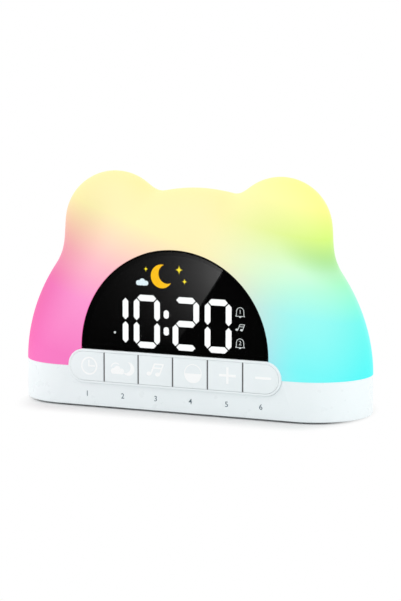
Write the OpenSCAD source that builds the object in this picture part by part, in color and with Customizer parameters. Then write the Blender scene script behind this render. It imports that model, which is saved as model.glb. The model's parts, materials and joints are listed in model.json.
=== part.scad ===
// Bedside clock with a night light: a soft glowing dome with two round ears on a
// white base, a half-round display and a strip of six push keys along the front.
// Millimetres. X runs to the right, Y to the back, Z up from the table.

/* [Body] */
// Width over the base
width = 176; // [165:1:190]
// Depth of the base and of the dome
depth = 54; // [52:0.5:62]
// Height of the base, from its lower edge to the seam with the dome
base_h = 18.8; // [17:0.1:22]
// Height of the dome over the seam, without the ears
dome_h = 84.8; // [82:0.1:87]
// Wall of the base and of the dome
wall = 2; // [1.6:0.1:2.4]
// Deck that closes the base under the dome
deck_t = 2; // [1.6:0.1:2.4]
// Bottom cover
cover_t = 2; // [1.8:0.1:2.4]

/* [Ears] */
// Radius of an ear
ear_r = 24.7; // [21:0.1:26]
// Thickness of an ear
ear_t = 40; // [34:0.5:44]
// Distance of an ear from the middle
ear_x = 43.1; // [40:0.1:46]
// Height of an ear's middle over the seam
ear_up = 67; // [64:0.1:70]

/* [Display] */
// Radius of the lens
lens_r = 48.2; // [46:0.1:50]
// Height of the lens arch's middle over the seam
lens_up = 9.6; // [9.5:0.1:11.6]
// Thickness of the lens
lens_t = 2; // [1.5:0.1:2.4]
// Height of a numeral
digit_h = 25.2; // [21.5:0.1:25.5]
// Width of a numeral
digit_w = 13.6; // [12:0.1:14]
// Width of a numeral's stroke
stroke = 2.9; // [2.6:0.1:3.6]
// Distance between the two numerals of a pair
digit_pitch = 16.5; // [16:0.1:17]
// Distance of a pair's near numeral from the colon
colon_gap = 10.1; // [9.8:0.1:10.6]
// Sideways place of the colon
colon_x = -4.3; // [-5:0.1:0]
// Height of the numerals' middle over the seam
digits_up = 23.2; // [23:0.1:25.2]

/* [Keys] */
// Length of the key strip
strip_len = 110; // [106:0.5:112]
// Height of the key strip
strip_h = 16.2; // [14.8:0.1:16.4]
// Height of the strip's middle over the seam
strip_up = 0.4; // [0:0.05:0.5]
// Distance from one key to the next
key_pitch = 17.9; // [17:0.1:18]
// Slit between two keys
key_slit = 0.7; // [0.5:0.05:1]
// How far a key stands out of the front
key_proud = 1.1; // [1:0.1:1.6]
// How far a key goes in when it is pressed
key_travel = 0.8; // [0.5:0.05:0.9]
// Rim around the keys
rim_w = 1.1; // [1:0.05:1.4]

/* [Power and sound] */
// Radius of a backup cell
cell_r = 5.15; // [5:0.05:5.2]
// Length of a backup cell
cell_len = 44.5; // [43:0.1:45]
// Radius of the speaker
speaker_r = 18; // [16:0.5:18.5]
// Width of the power socket
socket_w = 8.9; // [8:0.1:10]
// Height of the power socket
socket_h = 3.2; // [3:0.1:3.3]

/* [Feet and boards] */
// Height of a foot under the base
foot_h = 0.8; // [0.6:0.1:2]
// Radius of a foot
foot_r = 5; // [4:0.1:5.5]
// Thickness of the circuit boards
board_t = 1.6; // [1.2:0.1:1.8]
// Play around a part that is set into another
play = 0.15; // [0.1:0.01:0.2]
// Play around a key and around its switch plunger
key_play = 0.1; // [0.08:0.01:0.12]

/* [Hidden] */
$fn = 64;
reach = 400;            // longer than the whole clock, for cuts
over = 1;               // how far a cut runs past the face that it opens
touch = 0.05;           // gap between pieces that rest on each other
lap = 0.5;              // how far the parts of one moulding run into each other

// Levels and outlines
seam_z = foot_h + base_h;
deck_z = seam_z - deck_t;
cover_z = foot_h + cover_t;
end_r = depth / 2;
end_x = width / 2 - end_r;
inner_r = end_r - wall;
front = -end_r;
front_in = front + wall;
// The dome's outline is one circle whose middle lies a little under the seam
dome_drop = (width * width / 4 - dome_h * dome_h) / (2 * dome_h);
dome_z = seam_z - dome_drop;
dome_ring = dome_h + dome_drop - end_r;
ear_z = seam_z + ear_up;
ear_ring = ear_r - ear_t / 2;
lip_t = 1.2;
lip_h = 1.5;

// Screws, and the bosses and posts that they bite into
screw_r = 1.2;
screw_head_r = 2.2;
screw_head_t = 1.2;
screw_play = 0.2;
small_screw_r = 0.9;
small_head_r = 2;
small_head_t = 1;
boss_r = 3;
post_r = 2.5;
cover_screw_len = 5.5;

// Key strip: the flange rests on the wall where it first touches it
strip_z = seam_z + strip_up;
strip_top = strip_z + strip_h / 2;
strip_boss_r = 2.2;
strip_boss_x = strip_len / 2 + 2;
flange_t = 1.6;
flange_over = 0.8;
flange_half = strip_boss_x + strip_boss_r + 0.3;
flange_front = -sqrt(pow(inner_r, 2) - pow(max(0, flange_half - end_x), 2));
flange_y = flange_front + flange_t;
rim_proud = key_proud - 0.2;
key_count = 6;
key_flange_t = 1;
key_flange_y = flange_y + key_play + key_flange_t;
key_flange_h = strip_h - 2 * rim_w + 2;
stem_r = 2;
stem_len = 2.3;
plunger_r = 1.7;
plunger_y = key_flange_y + stem_len;
switch_y = plunger_y + key_travel + 0.4;
switch_w = 6;
switch_t = 3.5;
key_board_y = switch_y + switch_t;
key_board_back = key_board_y + board_t;
key_board_h = 16;
key_board_half = strip_len / 2 + 5;
key_screw_len = board_t + 5;
// Room in the deck for the key board, and for the heads of its screws
room_x = key_board_half + 1;
head_room = [7, 3.4];

// Display
lens_z = seam_z + lens_up;
lens_low = strip_top + key_play;
lens_back = front + lens_t;
gasket_t = 0.6;
gasket_w = 4.5;
housing_r = lens_r + 1.8;
housing_t = 1.6;
housing_low = strip_top + flange_over + 0.2;
housing_y = max(lens_back, front_in) + gasket_t;
housing_back = key_board_back + 1.9;
seat_depth = 3;
floor_t = 0.7;
display_board_y = housing_back - housing_t - board_t - play;
mask_y = lens_back + play;
mask_r = housing_r - gasket_w - play;
mask_low = housing_low + floor_t + play / 2;
lug = [9, 7, 2];
lug_x = 38;
skirt_x = lug_x + lug[0] / 2;
ribbon = [10, 0.4];
ribbon_z = lens_z + 6;
ribbon_off = 1.4;
slot_gap = 0.4;
lug_places = [for (side = [-1, 1]) [side * lug_x, housing_back + lug[1] / 2]];
lug_screw_len = deck_t + lug[2] - 0.3;

// Numerals: bars of a numeral in the order top, upper right, lower right, bottom, lower left,
// upper left, middle, as [sideways, upward, upright] in shares of half the numeral
digits_z = seam_z + digits_up;
digit_x = [
  colon_x - colon_gap - digit_pitch, colon_x - colon_gap,
  colon_x + colon_gap, colon_x + colon_gap + digit_pitch
];
half_w = (digit_w - stroke) / 2;
half_h = (digit_h - stroke) / 2;
bar_places = [[0, 1, 0], [1, 0.5, 1], [1, -0.5, 1], [0, -1, 0], [-1, -0.5, 1], [-1, 0.5, 1], [0, 0, 0]];
// Which bars are lit, and which are there at all, in each of the four numerals
lit_bars = [
  [0, 1, 1, 0, 0, 0, 0], [1, 1, 1, 1, 1, 1, 0], [1, 1, 0, 1, 1, 0, 1], [1, 1, 1, 1, 1, 1, 0]
];
bar_made = [[0, 1, 1, 0, 0, 0, 0], [1, 1, 1, 1, 1, 1, 1], [1, 1, 1, 1, 1, 1, 1], [1, 1, 1, 1, 1, 1, 1]];
tip_gap = 0.45;
segment_t = 1.2;
dot_up = 4;
dot_r = stroke * 0.47;
dot_spread = 0.6;
digit_led = [1.6, 0.8];

// Lit pictures, with places from the colon and the lens arch's middle: [sideways, up] or
// [sideways, up, radius]
picture_t = 0.1;
moon = [-2.4, 35.5, 5.6];
moon_bite = [0.52, 0.22, 0.82] * moon[2];
cloud = [-12.5, 32];
cloud_puffs = [[-2.1, 0, 1.2], [0, 0, 1.7], [2, -0.1, 1.1]];
sparkles = [[6.6, 39, 2], [9.4, 33.6, 1.4], [-10.6, 38.6, 1.2]];
icon_off = 37.7;
icon_drop = 0.5;
icon_step = 7.3;
bell_r = 1.75;
bell_brim = [4.4, 0.3];
note_half = 0.9;
note_r = 0.5;
note_h = 2.2;

// Battery bay, door and speaker, in a row from the left end
speaker_z = cover_z + 1;
speaker_h = 10.8;
magnet_r = speaker_r / 2;
cone_r = speaker_r - 2.5;
basket_t = 1;
basket_rim_t = 1;
basket_h = 5.5;
cone_low = 0.3;
cone_t = 0.4;
surround = [1.5, 0.5];
neck_r = 5;
neck_z = 4.2;
cap_z = 3.2;
coil_r = 2.8;
coil_top = 6;
coil_hole_r = 3;
ring_h = 3;
bay_wall = 1.2;
ring_r = speaker_r + play + bay_wall;
cell_count = 3;
cell_pitch = 2 * cell_r + 0.5;
bay_end = 2.6;
bay_len = cell_len + 2 * bay_end;
bay_w = cell_count * cell_pitch;
door_lobe_x = bay_len / 2 + bay_wall + boss_r + 1;
end_boss_x = end_x + inner_r - boss_r - 1;
speaker_x = ring_r + boss_r + 0.65 - end_boss_x;
bay_x = speaker_x + ring_r + boss_r + 0.1 + door_lobe_x;
bay_y = key_board_back + 1.3 + bay_wall + bay_w / 2;
door_t = 1.2;
door_z = foot_h + door_t;
door_over = 1.6;
door_lobe_r = 3.6;
door_boss_h = 9;
door_head_t = 0.7;
door_screw_len = 6.5;
groove = [16, 1, 0.4];
groove_pitch = 3;
bay_floor = door_z + play;
cell_z = bay_floor + 0.2 + cell_r;
bay_roof = cell_z + cell_r + 0.25;
knob_len = 0.8;
knob_r = 1.9;
plate_t = 0.4;
plate_w = cell_pitch - 2;
plate_gap = 0.02;
// Cells sit against the plate at the knob end
cell_shift = bay_end - plate_t - touch;
spring_wire_r = 0.25;
spring_wide = 3.6;
spring_narrow = 2.2;
spring_steps = 30;
spring_gap = 0.3;
spring_room = bay_len / 2 - plate_t - cell_len / 2 + cell_shift - 2 * spring_gap;
grille_hole_r = 0.9;
grille_pitch = 3.5;
foot_x = end_x + 10.5;
foot_y = end_r - 12;
foot_in = 0.6;
// Rows of grille holes, each second row half a pitch aside
grille_places = [for (row = [-3:3]) for (column = [-3:3]) let (
  x = (column + (row % 2 == 0 ? 0 : 0.5)) * grille_pitch,
  y = row * grille_pitch * sqrt(3) / 2
) if (norm([x, y]) < speaker_r * 0.62) [speaker_x + x, y]];
foot_places = [for (side_x = [-1, 1]) for (side_y = [-1, 1]) [side_x * foot_x, side_y * foot_y]];

// Places of the screws that hold the bottom cover
rear_boss_x = bay_len / 2 + 5;
rear_boss_y = inner_r - 4.5;
front_boss_x = 30;
front_boss_y = front_in + boss_r - lap;
front_boss_h = strip_z - strip_h / 2 - flange_over - 0.6 - cover_z;
cover_screw_places = [
  [-end_boss_x, 0], [end_boss_x, 0],
  [bay_x - rear_boss_x, rear_boss_y], [bay_x + rear_boss_x, rear_boss_y],
  [-front_boss_x, front_boss_y], [front_boss_x, front_boss_y]
];
// Places of the screws that hold the dome and the battery door
dome_boss = (end_r - 4.5) / sqrt(2);
dome_boss_h = 8;
dome_screw_len = deck_t + dome_boss_h - 2.5;
dome_screw_places = [
  for (side_x = [-1, 1]) for (side_y = [-1, 1])
    [side_x * (end_x + dome_boss), side_y * dome_boss]
];
door_screw_places = [for (side = [-1, 1]) [bay_x + side * door_lobe_x, bay_y]];

// Light board and the tray over it
light_board = [112, 14];
light_post_h = 2;
light_board_z = seam_z + light_post_h;
led_count = 6;
led_pitch = 18;
led_size = [5, 5, 1.6];
tray_t = 1;
tray_gap = 2;
tray_l = light_board[0] + 2 * (tray_gap + tray_t);
tray_w = light_board[1] + 2 * (tray_gap + tray_t);
tray_z = light_board_z + board_t + led_size[2] + 0.4;
tray_hole_r = 4.5;
light_y = housing_back + lug[1] + 1.8 + tray_w / 2;
light_post_x = light_board[0] / 2 - 5;
light_screw_len = board_t + light_post_h + deck_t - 0.5;
light_post_places = [for (side = [-1, 1]) [side * light_post_x, light_y]];
lead_hole = [-light_post_x + 7, light_y];
lead_hole_r = 2.5;

// Main board, to the right of the battery bay
main_left = bay_x + door_lobe_x + boss_r + 1.95;
main_right = end_x + 17;
main_front = key_board_back + 3.2;
main_back = inner_r - 0.6;
main_z = deck_z - 4.6;
main_low = main_z - board_t;
main_screw_in = 3;
post_in = [4, 4.5];
main_posts = [
  [main_left + post_in[0], main_front + post_in[1]], [main_left + post_in[0], main_back - 5.4],
  [main_right - 12.5, main_front + post_in[1]]
];
// Places on its underside, from its front left corner
chip_t = 1.5;
big_chip = [10, 10];
big_chip_place = [17, 16.5];
small_chip = [9, 6];
small_chip_place = [33, 23.5];
can_r = 2.5;
can_h = 6;
can_places = [[27, 14.5], [37, 15.5]];
crystal_size = [8, 3.5, 2.5];
crystal_place = [25, 21.5];
plug_w = 6;
plug_h = 5;
plug_in = 1;
plug_places = [[plug_in, 13.5], [plug_in, main_back - main_front - 13.4], [plug_in + 13, 3.5]];
plug_x = main_left + plug_in;
plug_z = main_low - plug_h / 2;
speaker_plug_y = main_front + plug_places[0][1] - 1;
light_plug_y = main_front + plug_places[1][1];
socket_x = main_left + 21;
socket_len = 7.3;
socket_t = 0.35;
socket_z = main_z + socket_h / 2;
tongue = [socket_w - 2.3, 0.7];

// Leads
lead_r = 0.8;
lead_sides = 8;
lead_z = deck_z - 1;
lead_y = bay_y - 14.4;
speaker_route = [
  [speaker_x + 15.5, -2, cover_z + 5.6], [speaker_x + 17, -6, cover_z + 8.5],
  [speaker_x + 19, -9, lead_z - 1.2], [bay_x - 24, lead_y, lead_z], [bay_x, lead_y, lead_z],
  [bay_x + 24, lead_y, lead_z], [main_left - 3, lead_y, lead_z - 1], [main_left - 2.5, -6, main_low - 1],
  [main_left - 1.6, speaker_plug_y, plug_z], [plug_x, speaker_plug_y, plug_z]
];
light_route = [
  [lead_hole[0], light_y, light_board_z], [lead_hole[0], light_y, seam_z],
  [lead_hole[0] + 0.3, light_y, deck_z + 0.3], [lead_hole[0] + 2.5, light_y, lead_z],
  [bay_x - 20, light_y, lead_z], [bay_x + 20, light_y, lead_z], [main_left - 4, light_y + 3, lead_z - 1],
  [main_left - 2.6, light_plug_y - 1, main_low - 1], [main_left - 1.6, light_plug_y, plug_z],
  [plug_x, light_plug_y, plug_z]
];

// ---------- shared shapes ----------

// Moves the clock so that the middle of its whole depth, keys included, is at Y = 0
module seated() { translate([0, key_proud / 2, 0]) children(); }

// Flat outline with straight sides and round ends, drawn in the plan or upright
module pill(length, height) {
  square([length - height, height], center = true);
  for (side = [-1, 1]) translate([side * (length - height) / 2, 0]) circle(d = height);
}

// Stands a flat outline upright, facing the front, from y0 back to y1
module upright(y0, y1) {
  translate([0, y1, 0]) rotate([90, 0, 0]) linear_extrude(y1 - y0) children();
}

// Prism on the base's plan, drawn in by inset, from z0 up to z1
module plan_prism(inset, z0, z1) {
  translate([0, 0, z0]) linear_extrude(z1 - z0) pill(width - 2 * inset, depth - 2 * inset);
}

// Upright round post or hole at a place in the plan, from z0 up to z1
module post(place, r, z0, z1) {
  translate([place[0], place[1], z0]) cylinder(h = z1 - z0, r = r);
}

// Upright disc at x and z with a full round edge: ring is the radius of its flat part, r that of
// the round edge
module round_disc(x, z, ring, r) {
  translate([x, 0, z]) rotate([90, 0, 0]) rotate_extrude() {
    translate([0, -r]) square([ring, 2 * r]);
    intersection() {
      translate([ring, 0]) circle(r = r);
      translate([ring, -r]) square([2 * r, 2 * r]);
    }
  }
}

// Solid dome without its hollow, drawn in by inset
module dome_solid(inset) {
  round_disc(0, dome_z, dome_ring, end_r - inset);
  for (side = [-1, 1]) round_disc(side * ear_x, ear_z, ear_ring, ear_t / 2 - inset);
}

// Everything under height z
module below(z) { translate([-reach / 2, -reach / 2, z - reach]) cube(reach); }

// Half-round plate for the display: radius r, flat at height low, from y0 to y1
module arch(r, low, y0, y1) {
  difference() {
    upright(y0, y1) translate([0, lens_z]) circle(r = r);
    below(low);
  }
}

// Opening in the front for the key strip, wider all round by gap
module strip_opening(gap, y0, y1) {
  upright(y0, y1) translate([0, strip_z]) pill(strip_len + 2 * gap, strip_h + 2 * gap);
}

// Round rod or hole at height z and distance x, from y0 back to y1
module rod(x, z, r, y0, y1) {
  upright(y0, y1) translate([x, z]) circle(r = r);
}

// Round pan-head screw that points up from the underside of its head
module screw(length) {
  translate([0, 0, -screw_head_t]) cylinder(h = screw_head_t, r = screw_head_r);
  cylinder(h = length, r = screw_r);
}

// ---------- shells ----------

module dome_diffuser() color("lightyellow") difference() {
  union() {
    difference() {
      dome_solid(0);
      dome_solid(wall);
    }
    for (place = dome_screw_places) post(place, boss_r, seam_z, seam_z + dome_boss_h);
  }
  below(seam_z);
  rod(0, lens_z, lens_r + play, front - over, front_in + over);
  // Flat seat behind the front wall for the lens gasket and the housing's rim
  rod(0, lens_z, housing_r + play, front_in, front_in + seat_depth);
  strip_opening(key_play, front - over, front_in + over);
  for (place = dome_screw_places) post(place, screw_r, seam_z - over, seam_z + dome_boss_h - 2);
}

module base_shell() color("white") difference() {
  union() {
    difference() {
      plan_prism(0, foot_h, seam_z);
      plan_prism(wall, foot_h - over, deck_z);
    }
    locating_lip();
    // Bosses for the cover's screws: four hang from the deck, two stand on the front wall
    for (place = cover_screw_places)
      post(place, boss_r, cover_z, place[1] < 0 ? cover_z + front_boss_h : deck_z + over);
    for (place = main_posts) post(place, post_r, main_z, deck_z + over);
    for (place = light_post_places) post(place, post_r, seam_z - over, light_board_z);
  }
  strip_opening(key_play, front - over, front_in + over);
  // Room in the deck for the key board, and for the heads of its screws
  translate([-room_x, front_in, deck_z - over])
    cube([2 * room_x, key_board_back - front_in + touch, deck_t + lip_h + 2 * over]);
  for (side = [-1, 1])
    translate([side * strip_boss_x - head_room[0] / 2, key_board_back - over, deck_z - over])
      cube([head_room[0], head_room[1], deck_t + lip_h + 2 * over]);
  for (place = cover_screw_places) post(place, screw_r, cover_z - over, cover_z + cover_screw_len);
  for (place = dome_screw_places) post(place, screw_r + screw_play, deck_z - over, seam_z + over);
  for (place = main_posts) post(place, screw_r, main_z - over, main_z + main_screw_in + over);
  for (place = light_post_places) post(place, screw_r, deck_z - over, light_board_z + over);
  for (place = lug_places) post(place, screw_r, deck_z - over, seam_z + over);
  // Hole for the leads to the light board
  post(lead_hole, lead_hole_r, deck_z - over, seam_z + over);
  // Hole for the power socket
  translate([socket_x, 0, socket_z]) upright(inner_r - over, end_r + over)
    pill(socket_w + 2 * play, socket_h + 2 * play);
}

// Ridge on the deck that keeps the dome in place; it stops beside the keys
module locating_lip() difference() {
  plan_prism(wall + play, seam_z - over, seam_z + lip_h);
  plan_prism(wall + play + lip_t, seam_z - 2 * over, seam_z + lip_h + over);
  translate([-room_x, front, seam_z - 2 * over]) cube([2 * room_x, depth / 4, lip_h + 3 * over]);
  for (place = dome_screw_places) post(place, boss_r + play, seam_z, seam_z + lip_h + over);
}

module bottom_cover() color("white") difference() {
  union() {
    plan_prism(wall + play, foot_h, cover_z);
    bay_block(bay_wall, foot_h, bay_roof + bay_wall);
    for (place = door_screw_places) post(place, boss_r, foot_h, foot_h + door_boss_h);
    // Ring that keeps the speaker in place
    difference() {
      post([speaker_x, 0], ring_r, foot_h, cover_z + ring_h);
      post([speaker_x, 0], ring_r - bay_wall, cover_z, cover_z + ring_h + over);
    }
  }
  bay_block(0, foot_h - over, bay_roof);
  door_outline(play, foot_h - over, door_z + touch);
  for (place = door_screw_places) post(place, screw_r + touch, foot_h, foot_h + door_boss_h - over);
  for (place = cover_screw_places) {
    post(place, screw_r + screw_play, foot_h - over, cover_z + over);
    post(place, screw_head_r + screw_play, foot_h - over, foot_h + screw_head_t);
  }
  for (place = foot_places) post(place, foot_r + play, foot_h - over, foot_h + foot_in);
  for (place = grille_places) post(place, grille_hole_r, foot_h - over, cover_z + over);
}

// Block round the battery bay, larger all round by gap, from z0 up to z1
module bay_block(gap, z0, z1) {
  translate([bay_x - bay_len / 2 - gap, bay_y - bay_w / 2 - gap, z0])
    cube([bay_len + 2 * gap, bay_w + 2 * gap, z1 - z0]);
}

// Outline of the battery door with its two screw lobes, larger all round by gap
module door_outline(gap, z0, z1) {
  bay_block(door_over + gap, z0, z1);
  for (place = door_screw_places) post(place, door_lobe_r + gap, z0, z1);
  translate([bay_x - door_lobe_x, bay_y - door_lobe_r - gap, z0])
    cube([2 * door_lobe_x, 2 * (door_lobe_r + gap), z1 - z0]);
}

module rubber_feet() color("dimgray")
  for (place = foot_places) post(place, foot_r, 0, foot_h + foot_in);

module cover_screws() color("silver")
  for (place = cover_screw_places)
    translate([place[0], place[1], foot_h + screw_head_t]) screw(cover_screw_len);

module dome_screws() color("silver")
  for (place = dome_screw_places) translate([place[0], place[1], deck_z]) screw(dome_screw_len);

// ---------- display ----------

module display_lens() color([0.03, 0.03, 0.035]) arch(lens_r, lens_low, front, lens_back);

module lens_gasket() color("black") difference() {
  arch(housing_r, housing_low, housing_y - gasket_t, housing_y);
  arch(housing_r - gasket_w, housing_low + floor_t, housing_y - gasket_t - over, housing_y + over);
}

module display_housing() color([0.12, 0.12, 0.12]) difference() {
  union() {
    arch(housing_r, housing_low, housing_y, housing_back);
    // Skirt behind the keys, and the lugs that it stands on
    translate([-skirt_x, housing_back - housing_t, seam_z])
      cube([2 * skirt_x, housing_t, housing_low - seam_z + over]);
    for (side = [-1, 1])
      translate([side * lug_x - lug[0] / 2, housing_back - housing_t, seam_z])
        cube([lug[0], lug[1] + housing_t, lug[2]]);
  }
  arch(housing_r - housing_t, housing_low + floor_t, housing_y - over, housing_back - housing_t);
  for (place = lug_places) post(place, screw_r + screw_play, seam_z - over, seam_z + lug[2] + over);
  // Slot for the display's ribbon cable
  translate([-ribbon[0] / 2 - slot_gap, housing_back - housing_t - over, ribbon_z - ribbon[1] / 2 - slot_gap])
    cube([ribbon[0] + 2 * slot_gap, housing_t + 2 * over, ribbon[1] + 2 * slot_gap]);
}

module housing_screws() color("silver")
  for (place = lug_places)
    translate([place[0], place[1], seam_z + lug[2]]) rotate([180, 0, 0]) screw(lug_screw_len);

// One bar of a numeral: a long hexagon with pointed ends, larger all round by gap
module bar(length, gap) {
  w = stroke / 2 + gap;
  l = length / 2 - tip_gap + gap;
  polygon([[-l, 0], [-l + w, w], [l - w, w], [l, 0], [l - w, -w], [-l + w, -w]]);
}

// The bars of all numerals whose entry in table is on, as flat outlines
module bars(table, on, gap) {
  for (digit = [0:3]) for (b = [0:6]) if (table[digit][b] == on && bar_made[digit][b] == 1)
    translate([digit_x[digit] + bar_places[b][0] * half_w, digits_z + bar_places[b][1] * half_h])
      if (bar_places[b][2] == 1) rotate(90) bar(half_h, gap);
      else bar(2 * half_w, gap);
}

module colon_dots(gap) {
  for (side = [-1, 1]) for (part = [-1, 1])
    translate([colon_x, digits_z + side * dot_up + part * dot_spread]) circle(r = dot_r + gap);
}

module segment_mask() color([0.02, 0.02, 0.02]) difference() {
  arch(mask_r, mask_low, mask_y, display_board_y);
  upright(mask_y - over, display_board_y + over) bars(bar_made, 1, key_play / 2);
  upright(mask_y - over, display_board_y + over) colon_dots(key_play / 2);
}

module lit_segments() color("white") {
  upright(mask_y, mask_y + segment_t) bars(lit_bars, 1, 0);
  upright(mask_y, mask_y + segment_t) colon_dots(0);
}

module unlit_segments() color([0.1, 0.1, 0.1])
  upright(mask_y, mask_y + segment_t) bars(lit_bars, 0, 0);

// Crescent moon, open to the right, with sparkles and one cloud
module night_picture() translate([colon_x, 0, lens_z]) upright(mask_y - picture_t, mask_y) {
  color("gold") translate([moon[0], moon[1]]) difference() {
    circle(r = moon[2]);
    translate([moon_bite[0], moon_bite[1]]) circle(r = moon_bite[2]);
  }
  color("gold") for (s = sparkles) translate([s[0], s[1]]) sparkle(s[2]);
  color("lightblue") translate(cloud) {
    for (puff = cloud_puffs) translate([puff[0], puff[1]]) circle(r = puff[2]);
    translate([cloud_puffs[0][0], -cloud_puffs[0][2]])
      square([cloud_puffs[2][0] - cloud_puffs[0][0], cloud_puffs[0][2]]);
  }
}

// Four-pointed sparkle
module sparkle(r) {
  polygon([for (i = [0:7]) (i % 2 == 0 ? r : r * 0.34) * [cos(i * 45), sin(i * 45)]]);
}

// Two alarm marks and a sound mark beside the numerals
module status_icons() color("silver") translate([colon_x + icon_off, 0, digits_z - icon_drop])
  upright(mask_y - picture_t, mask_y) {
    for (side = [-1, 1]) translate([0, side * icon_step]) bell_outline();
    note_outline();
  }

// Outline of a small bell
module bell_outline() {
  difference() {
    bell_body(bell_r);
    bell_body(bell_r - bell_brim[1]);
  }
  translate([-bell_brim[0] / 2, -bell_r - bell_brim[1] / 2]) square(bell_brim);
}

module bell_body(r) {
  circle(r = r);
  translate([-r, -r]) square([2 * r, r]);
}

// Two joined notes
module note_outline() {
  for (side = [-1, 1]) {
    translate([side * note_half - note_r / 2, -note_h / 2]) circle(r = note_r);
    translate([side * note_half, -note_h / 2]) square([note_r / 2, note_h]);
  }
  translate([-note_half, note_h / 2 - note_r]) square([2 * note_half + note_r / 2, note_r]);
}

module display_board() color("darkgreen")
  arch(mask_r, mask_low, display_board_y, display_board_y + board_t);

module digit_leds() color("ivory")
  for (digit = [0:3]) for (b = [0:6]) if (lit_bars[digit][b] == 1)
    translate([
      digit_x[digit] + bar_places[b][0] * half_w, display_board_y - digit_led[1] / 2,
      digits_z + bar_places[b][1] * half_h
    ])
      cube([digit_led[0], digit_led[1], digit_led[0]], center = true);

// ---------- keys ----------

module key_bezel() color("white") difference() {
  union() {
    strip_opening(0, front - rim_proud, flange_front);
    upright(flange_front, flange_y) translate([0, strip_z]) pill(2 * flange_half, strip_h + 2 * flange_over);
    for (side = [-1, 1]) rod(side * strip_boss_x, strip_z, strip_boss_r, flange_y - lap, key_board_y);
  }
  strip_opening(-rim_w, front - key_proud - over, flange_y + over);
  for (side = [-1, 1])
    rod(side * strip_boss_x, strip_z, small_screw_r, key_board_y - key_screw_len, key_board_y + over);
}

// Left and right edge of key i
function key_left(i) = i == 0 ? -strip_len / 2 : (i - key_count / 2) * key_pitch + key_slit / 2;
function key_right(i) = -key_left(key_count - 1 - i);
// Middle of the key's button area, where its switch sits
function key_x(i) = (i - (key_count - 1) / 2) * key_pitch;

module keycap(i) color("white") {
  intersection() {
    strip_opening(-rim_w - key_play, front - key_proud, flange_y + key_play + lap);
    translate([key_left(i), front - key_proud - over, strip_z - strip_h])
      cube([key_right(i) - key_left(i), depth, 2 * strip_h]);
  }
  // Flange that stops the key against the back of the rim
  translate([key_x(i) - (key_pitch - key_slit) / 2, flange_y + key_play, strip_z - key_flange_h / 2])
    cube([key_pitch - key_slit, key_flange_t, key_flange_h]);
  rod(key_x(i), strip_z, stem_r, key_flange_y - lap, plunger_y);
}

module plunger(i) color("black") rod(key_x(i), strip_z, plunger_r, plunger_y, switch_y + over);

module key_switches() color("gray")
  for (i = [0:key_count - 1]) difference() {
    translate([key_x(i) - switch_w / 2, switch_y, strip_z - switch_w / 2])
      cube([switch_w, switch_t, switch_w]);
    rod(key_x(i), strip_z, plunger_r + key_play / 2, switch_y - over, switch_y + over + key_travel + 0.3);
  }

module key_board() color("darkgreen") difference() {
  translate([-key_board_half, key_board_y, strip_z - key_board_h / 2])
    cube([2 * key_board_half, board_t, key_board_h]);
  for (side = [-1, 1])
    rod(side * strip_boss_x, strip_z, screw_r, key_board_y - over, key_board_back + over);
}

module key_board_screws() color("silver")
  for (side = [-1, 1]) {
    rod(side * strip_boss_x, strip_z, small_head_r, key_board_back, key_board_back + small_head_t);
    rod(side * strip_boss_x, strip_z, small_screw_r, key_board_back - key_screw_len, key_board_back);
  }

// ---------- night light ----------

module light_board() color("white") difference() {
  translate([-light_board[0] / 2, light_y - light_board[1] / 2, light_board_z])
    cube([light_board[0], light_board[1], board_t]);
  for (place = light_post_places)
    post(place, screw_r + screw_play, light_board_z - over, light_board_z + board_t + over);
}

// Place of light i along the board
function led_x(i) = (i - (led_count - 1) / 2) * led_pitch;

module light_leds() color("ivory")
  for (i = [0:led_count - 1])
    translate([led_x(i), light_y, light_board_z + board_t + led_size[2] / 2]) cube(led_size, center = true);

module light_board_screws() color("silver")
  for (place = light_post_places)
    translate([place[0], place[1], light_board_z + board_t]) rotate([180, 0, 0]) screw(light_screw_len);

// White tray over the light board, open above each light
module light_reflector() color("white") difference() {
  translate([-tray_l / 2, light_y - tray_w / 2, seam_z]) cube([tray_l, tray_w, tray_z + tray_t - seam_z]);
  translate([-tray_l / 2 + tray_t, light_y - tray_w / 2 + tray_t, seam_z - over])
    cube([tray_l - 2 * tray_t, tray_w - 2 * tray_t, tray_z - seam_z + over]);
  for (i = [0:led_count - 1]) post([led_x(i), light_y], tray_hole_r, tray_z - over, tray_z + tray_t + over);
}

// ---------- main board ----------

module main_board() color("darkgreen") difference() {
  intersection() {
    translate([main_left, main_front, main_low])
      cube([main_right - main_left, main_back - main_front, board_t]);
    plan_prism(inner_r - main_back + wall, main_low - over, main_z + over);
  }
  for (place = main_posts) post(place, screw_r + screw_play, main_low - over, main_z + over);
}

module main_board_screws() color("silver")
  for (place = main_posts) translate([place[0], place[1], main_low]) screw(board_t + main_screw_in);

// Hangs what is drawn h high under the main board, at a place from its front left corner
module under_board(place, h)
  translate([main_left + place[0], main_front + place[1], main_low - h]) children();

module circuit_chips() color([0.08, 0.08, 0.08]) {
  chip(big_chip_place, big_chip);
  chip(small_chip_place, small_chip);
}

module chip(place, size)
  under_board(place, chip_t) linear_extrude(chip_t) square(size, center = true);

module capacitors() color("navy")
  for (place = can_places) under_board(place, can_h) cylinder(h = can_h, r = can_r);

module crystal() color("silver")
  under_board(crystal_place, crystal_size[2])
    linear_extrude(crystal_size[2]) rotate(90) pill(crystal_size[0], crystal_size[1]);

module connectors() color("ivory")
  for (place = plug_places) under_board(place, plug_h)
    translate([0, -plug_w / 2, 0]) cube([plug_w, plug_w, plug_h]);

module power_socket() color("silver") translate([socket_x, 0, socket_z]) {
  difference() {
    upright(end_r - socket_len - play, end_r - play) pill(socket_w, socket_h);
    upright(end_r - socket_len + over, end_r + over) pill(socket_w - 2 * socket_t, socket_h - 2 * socket_t);
  }
  translate([-tongue[0] / 2, end_r - socket_len, -tongue[1] / 2])
    cube([tongue[0], socket_len - 1.2, tongue[1]]);
}

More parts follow.
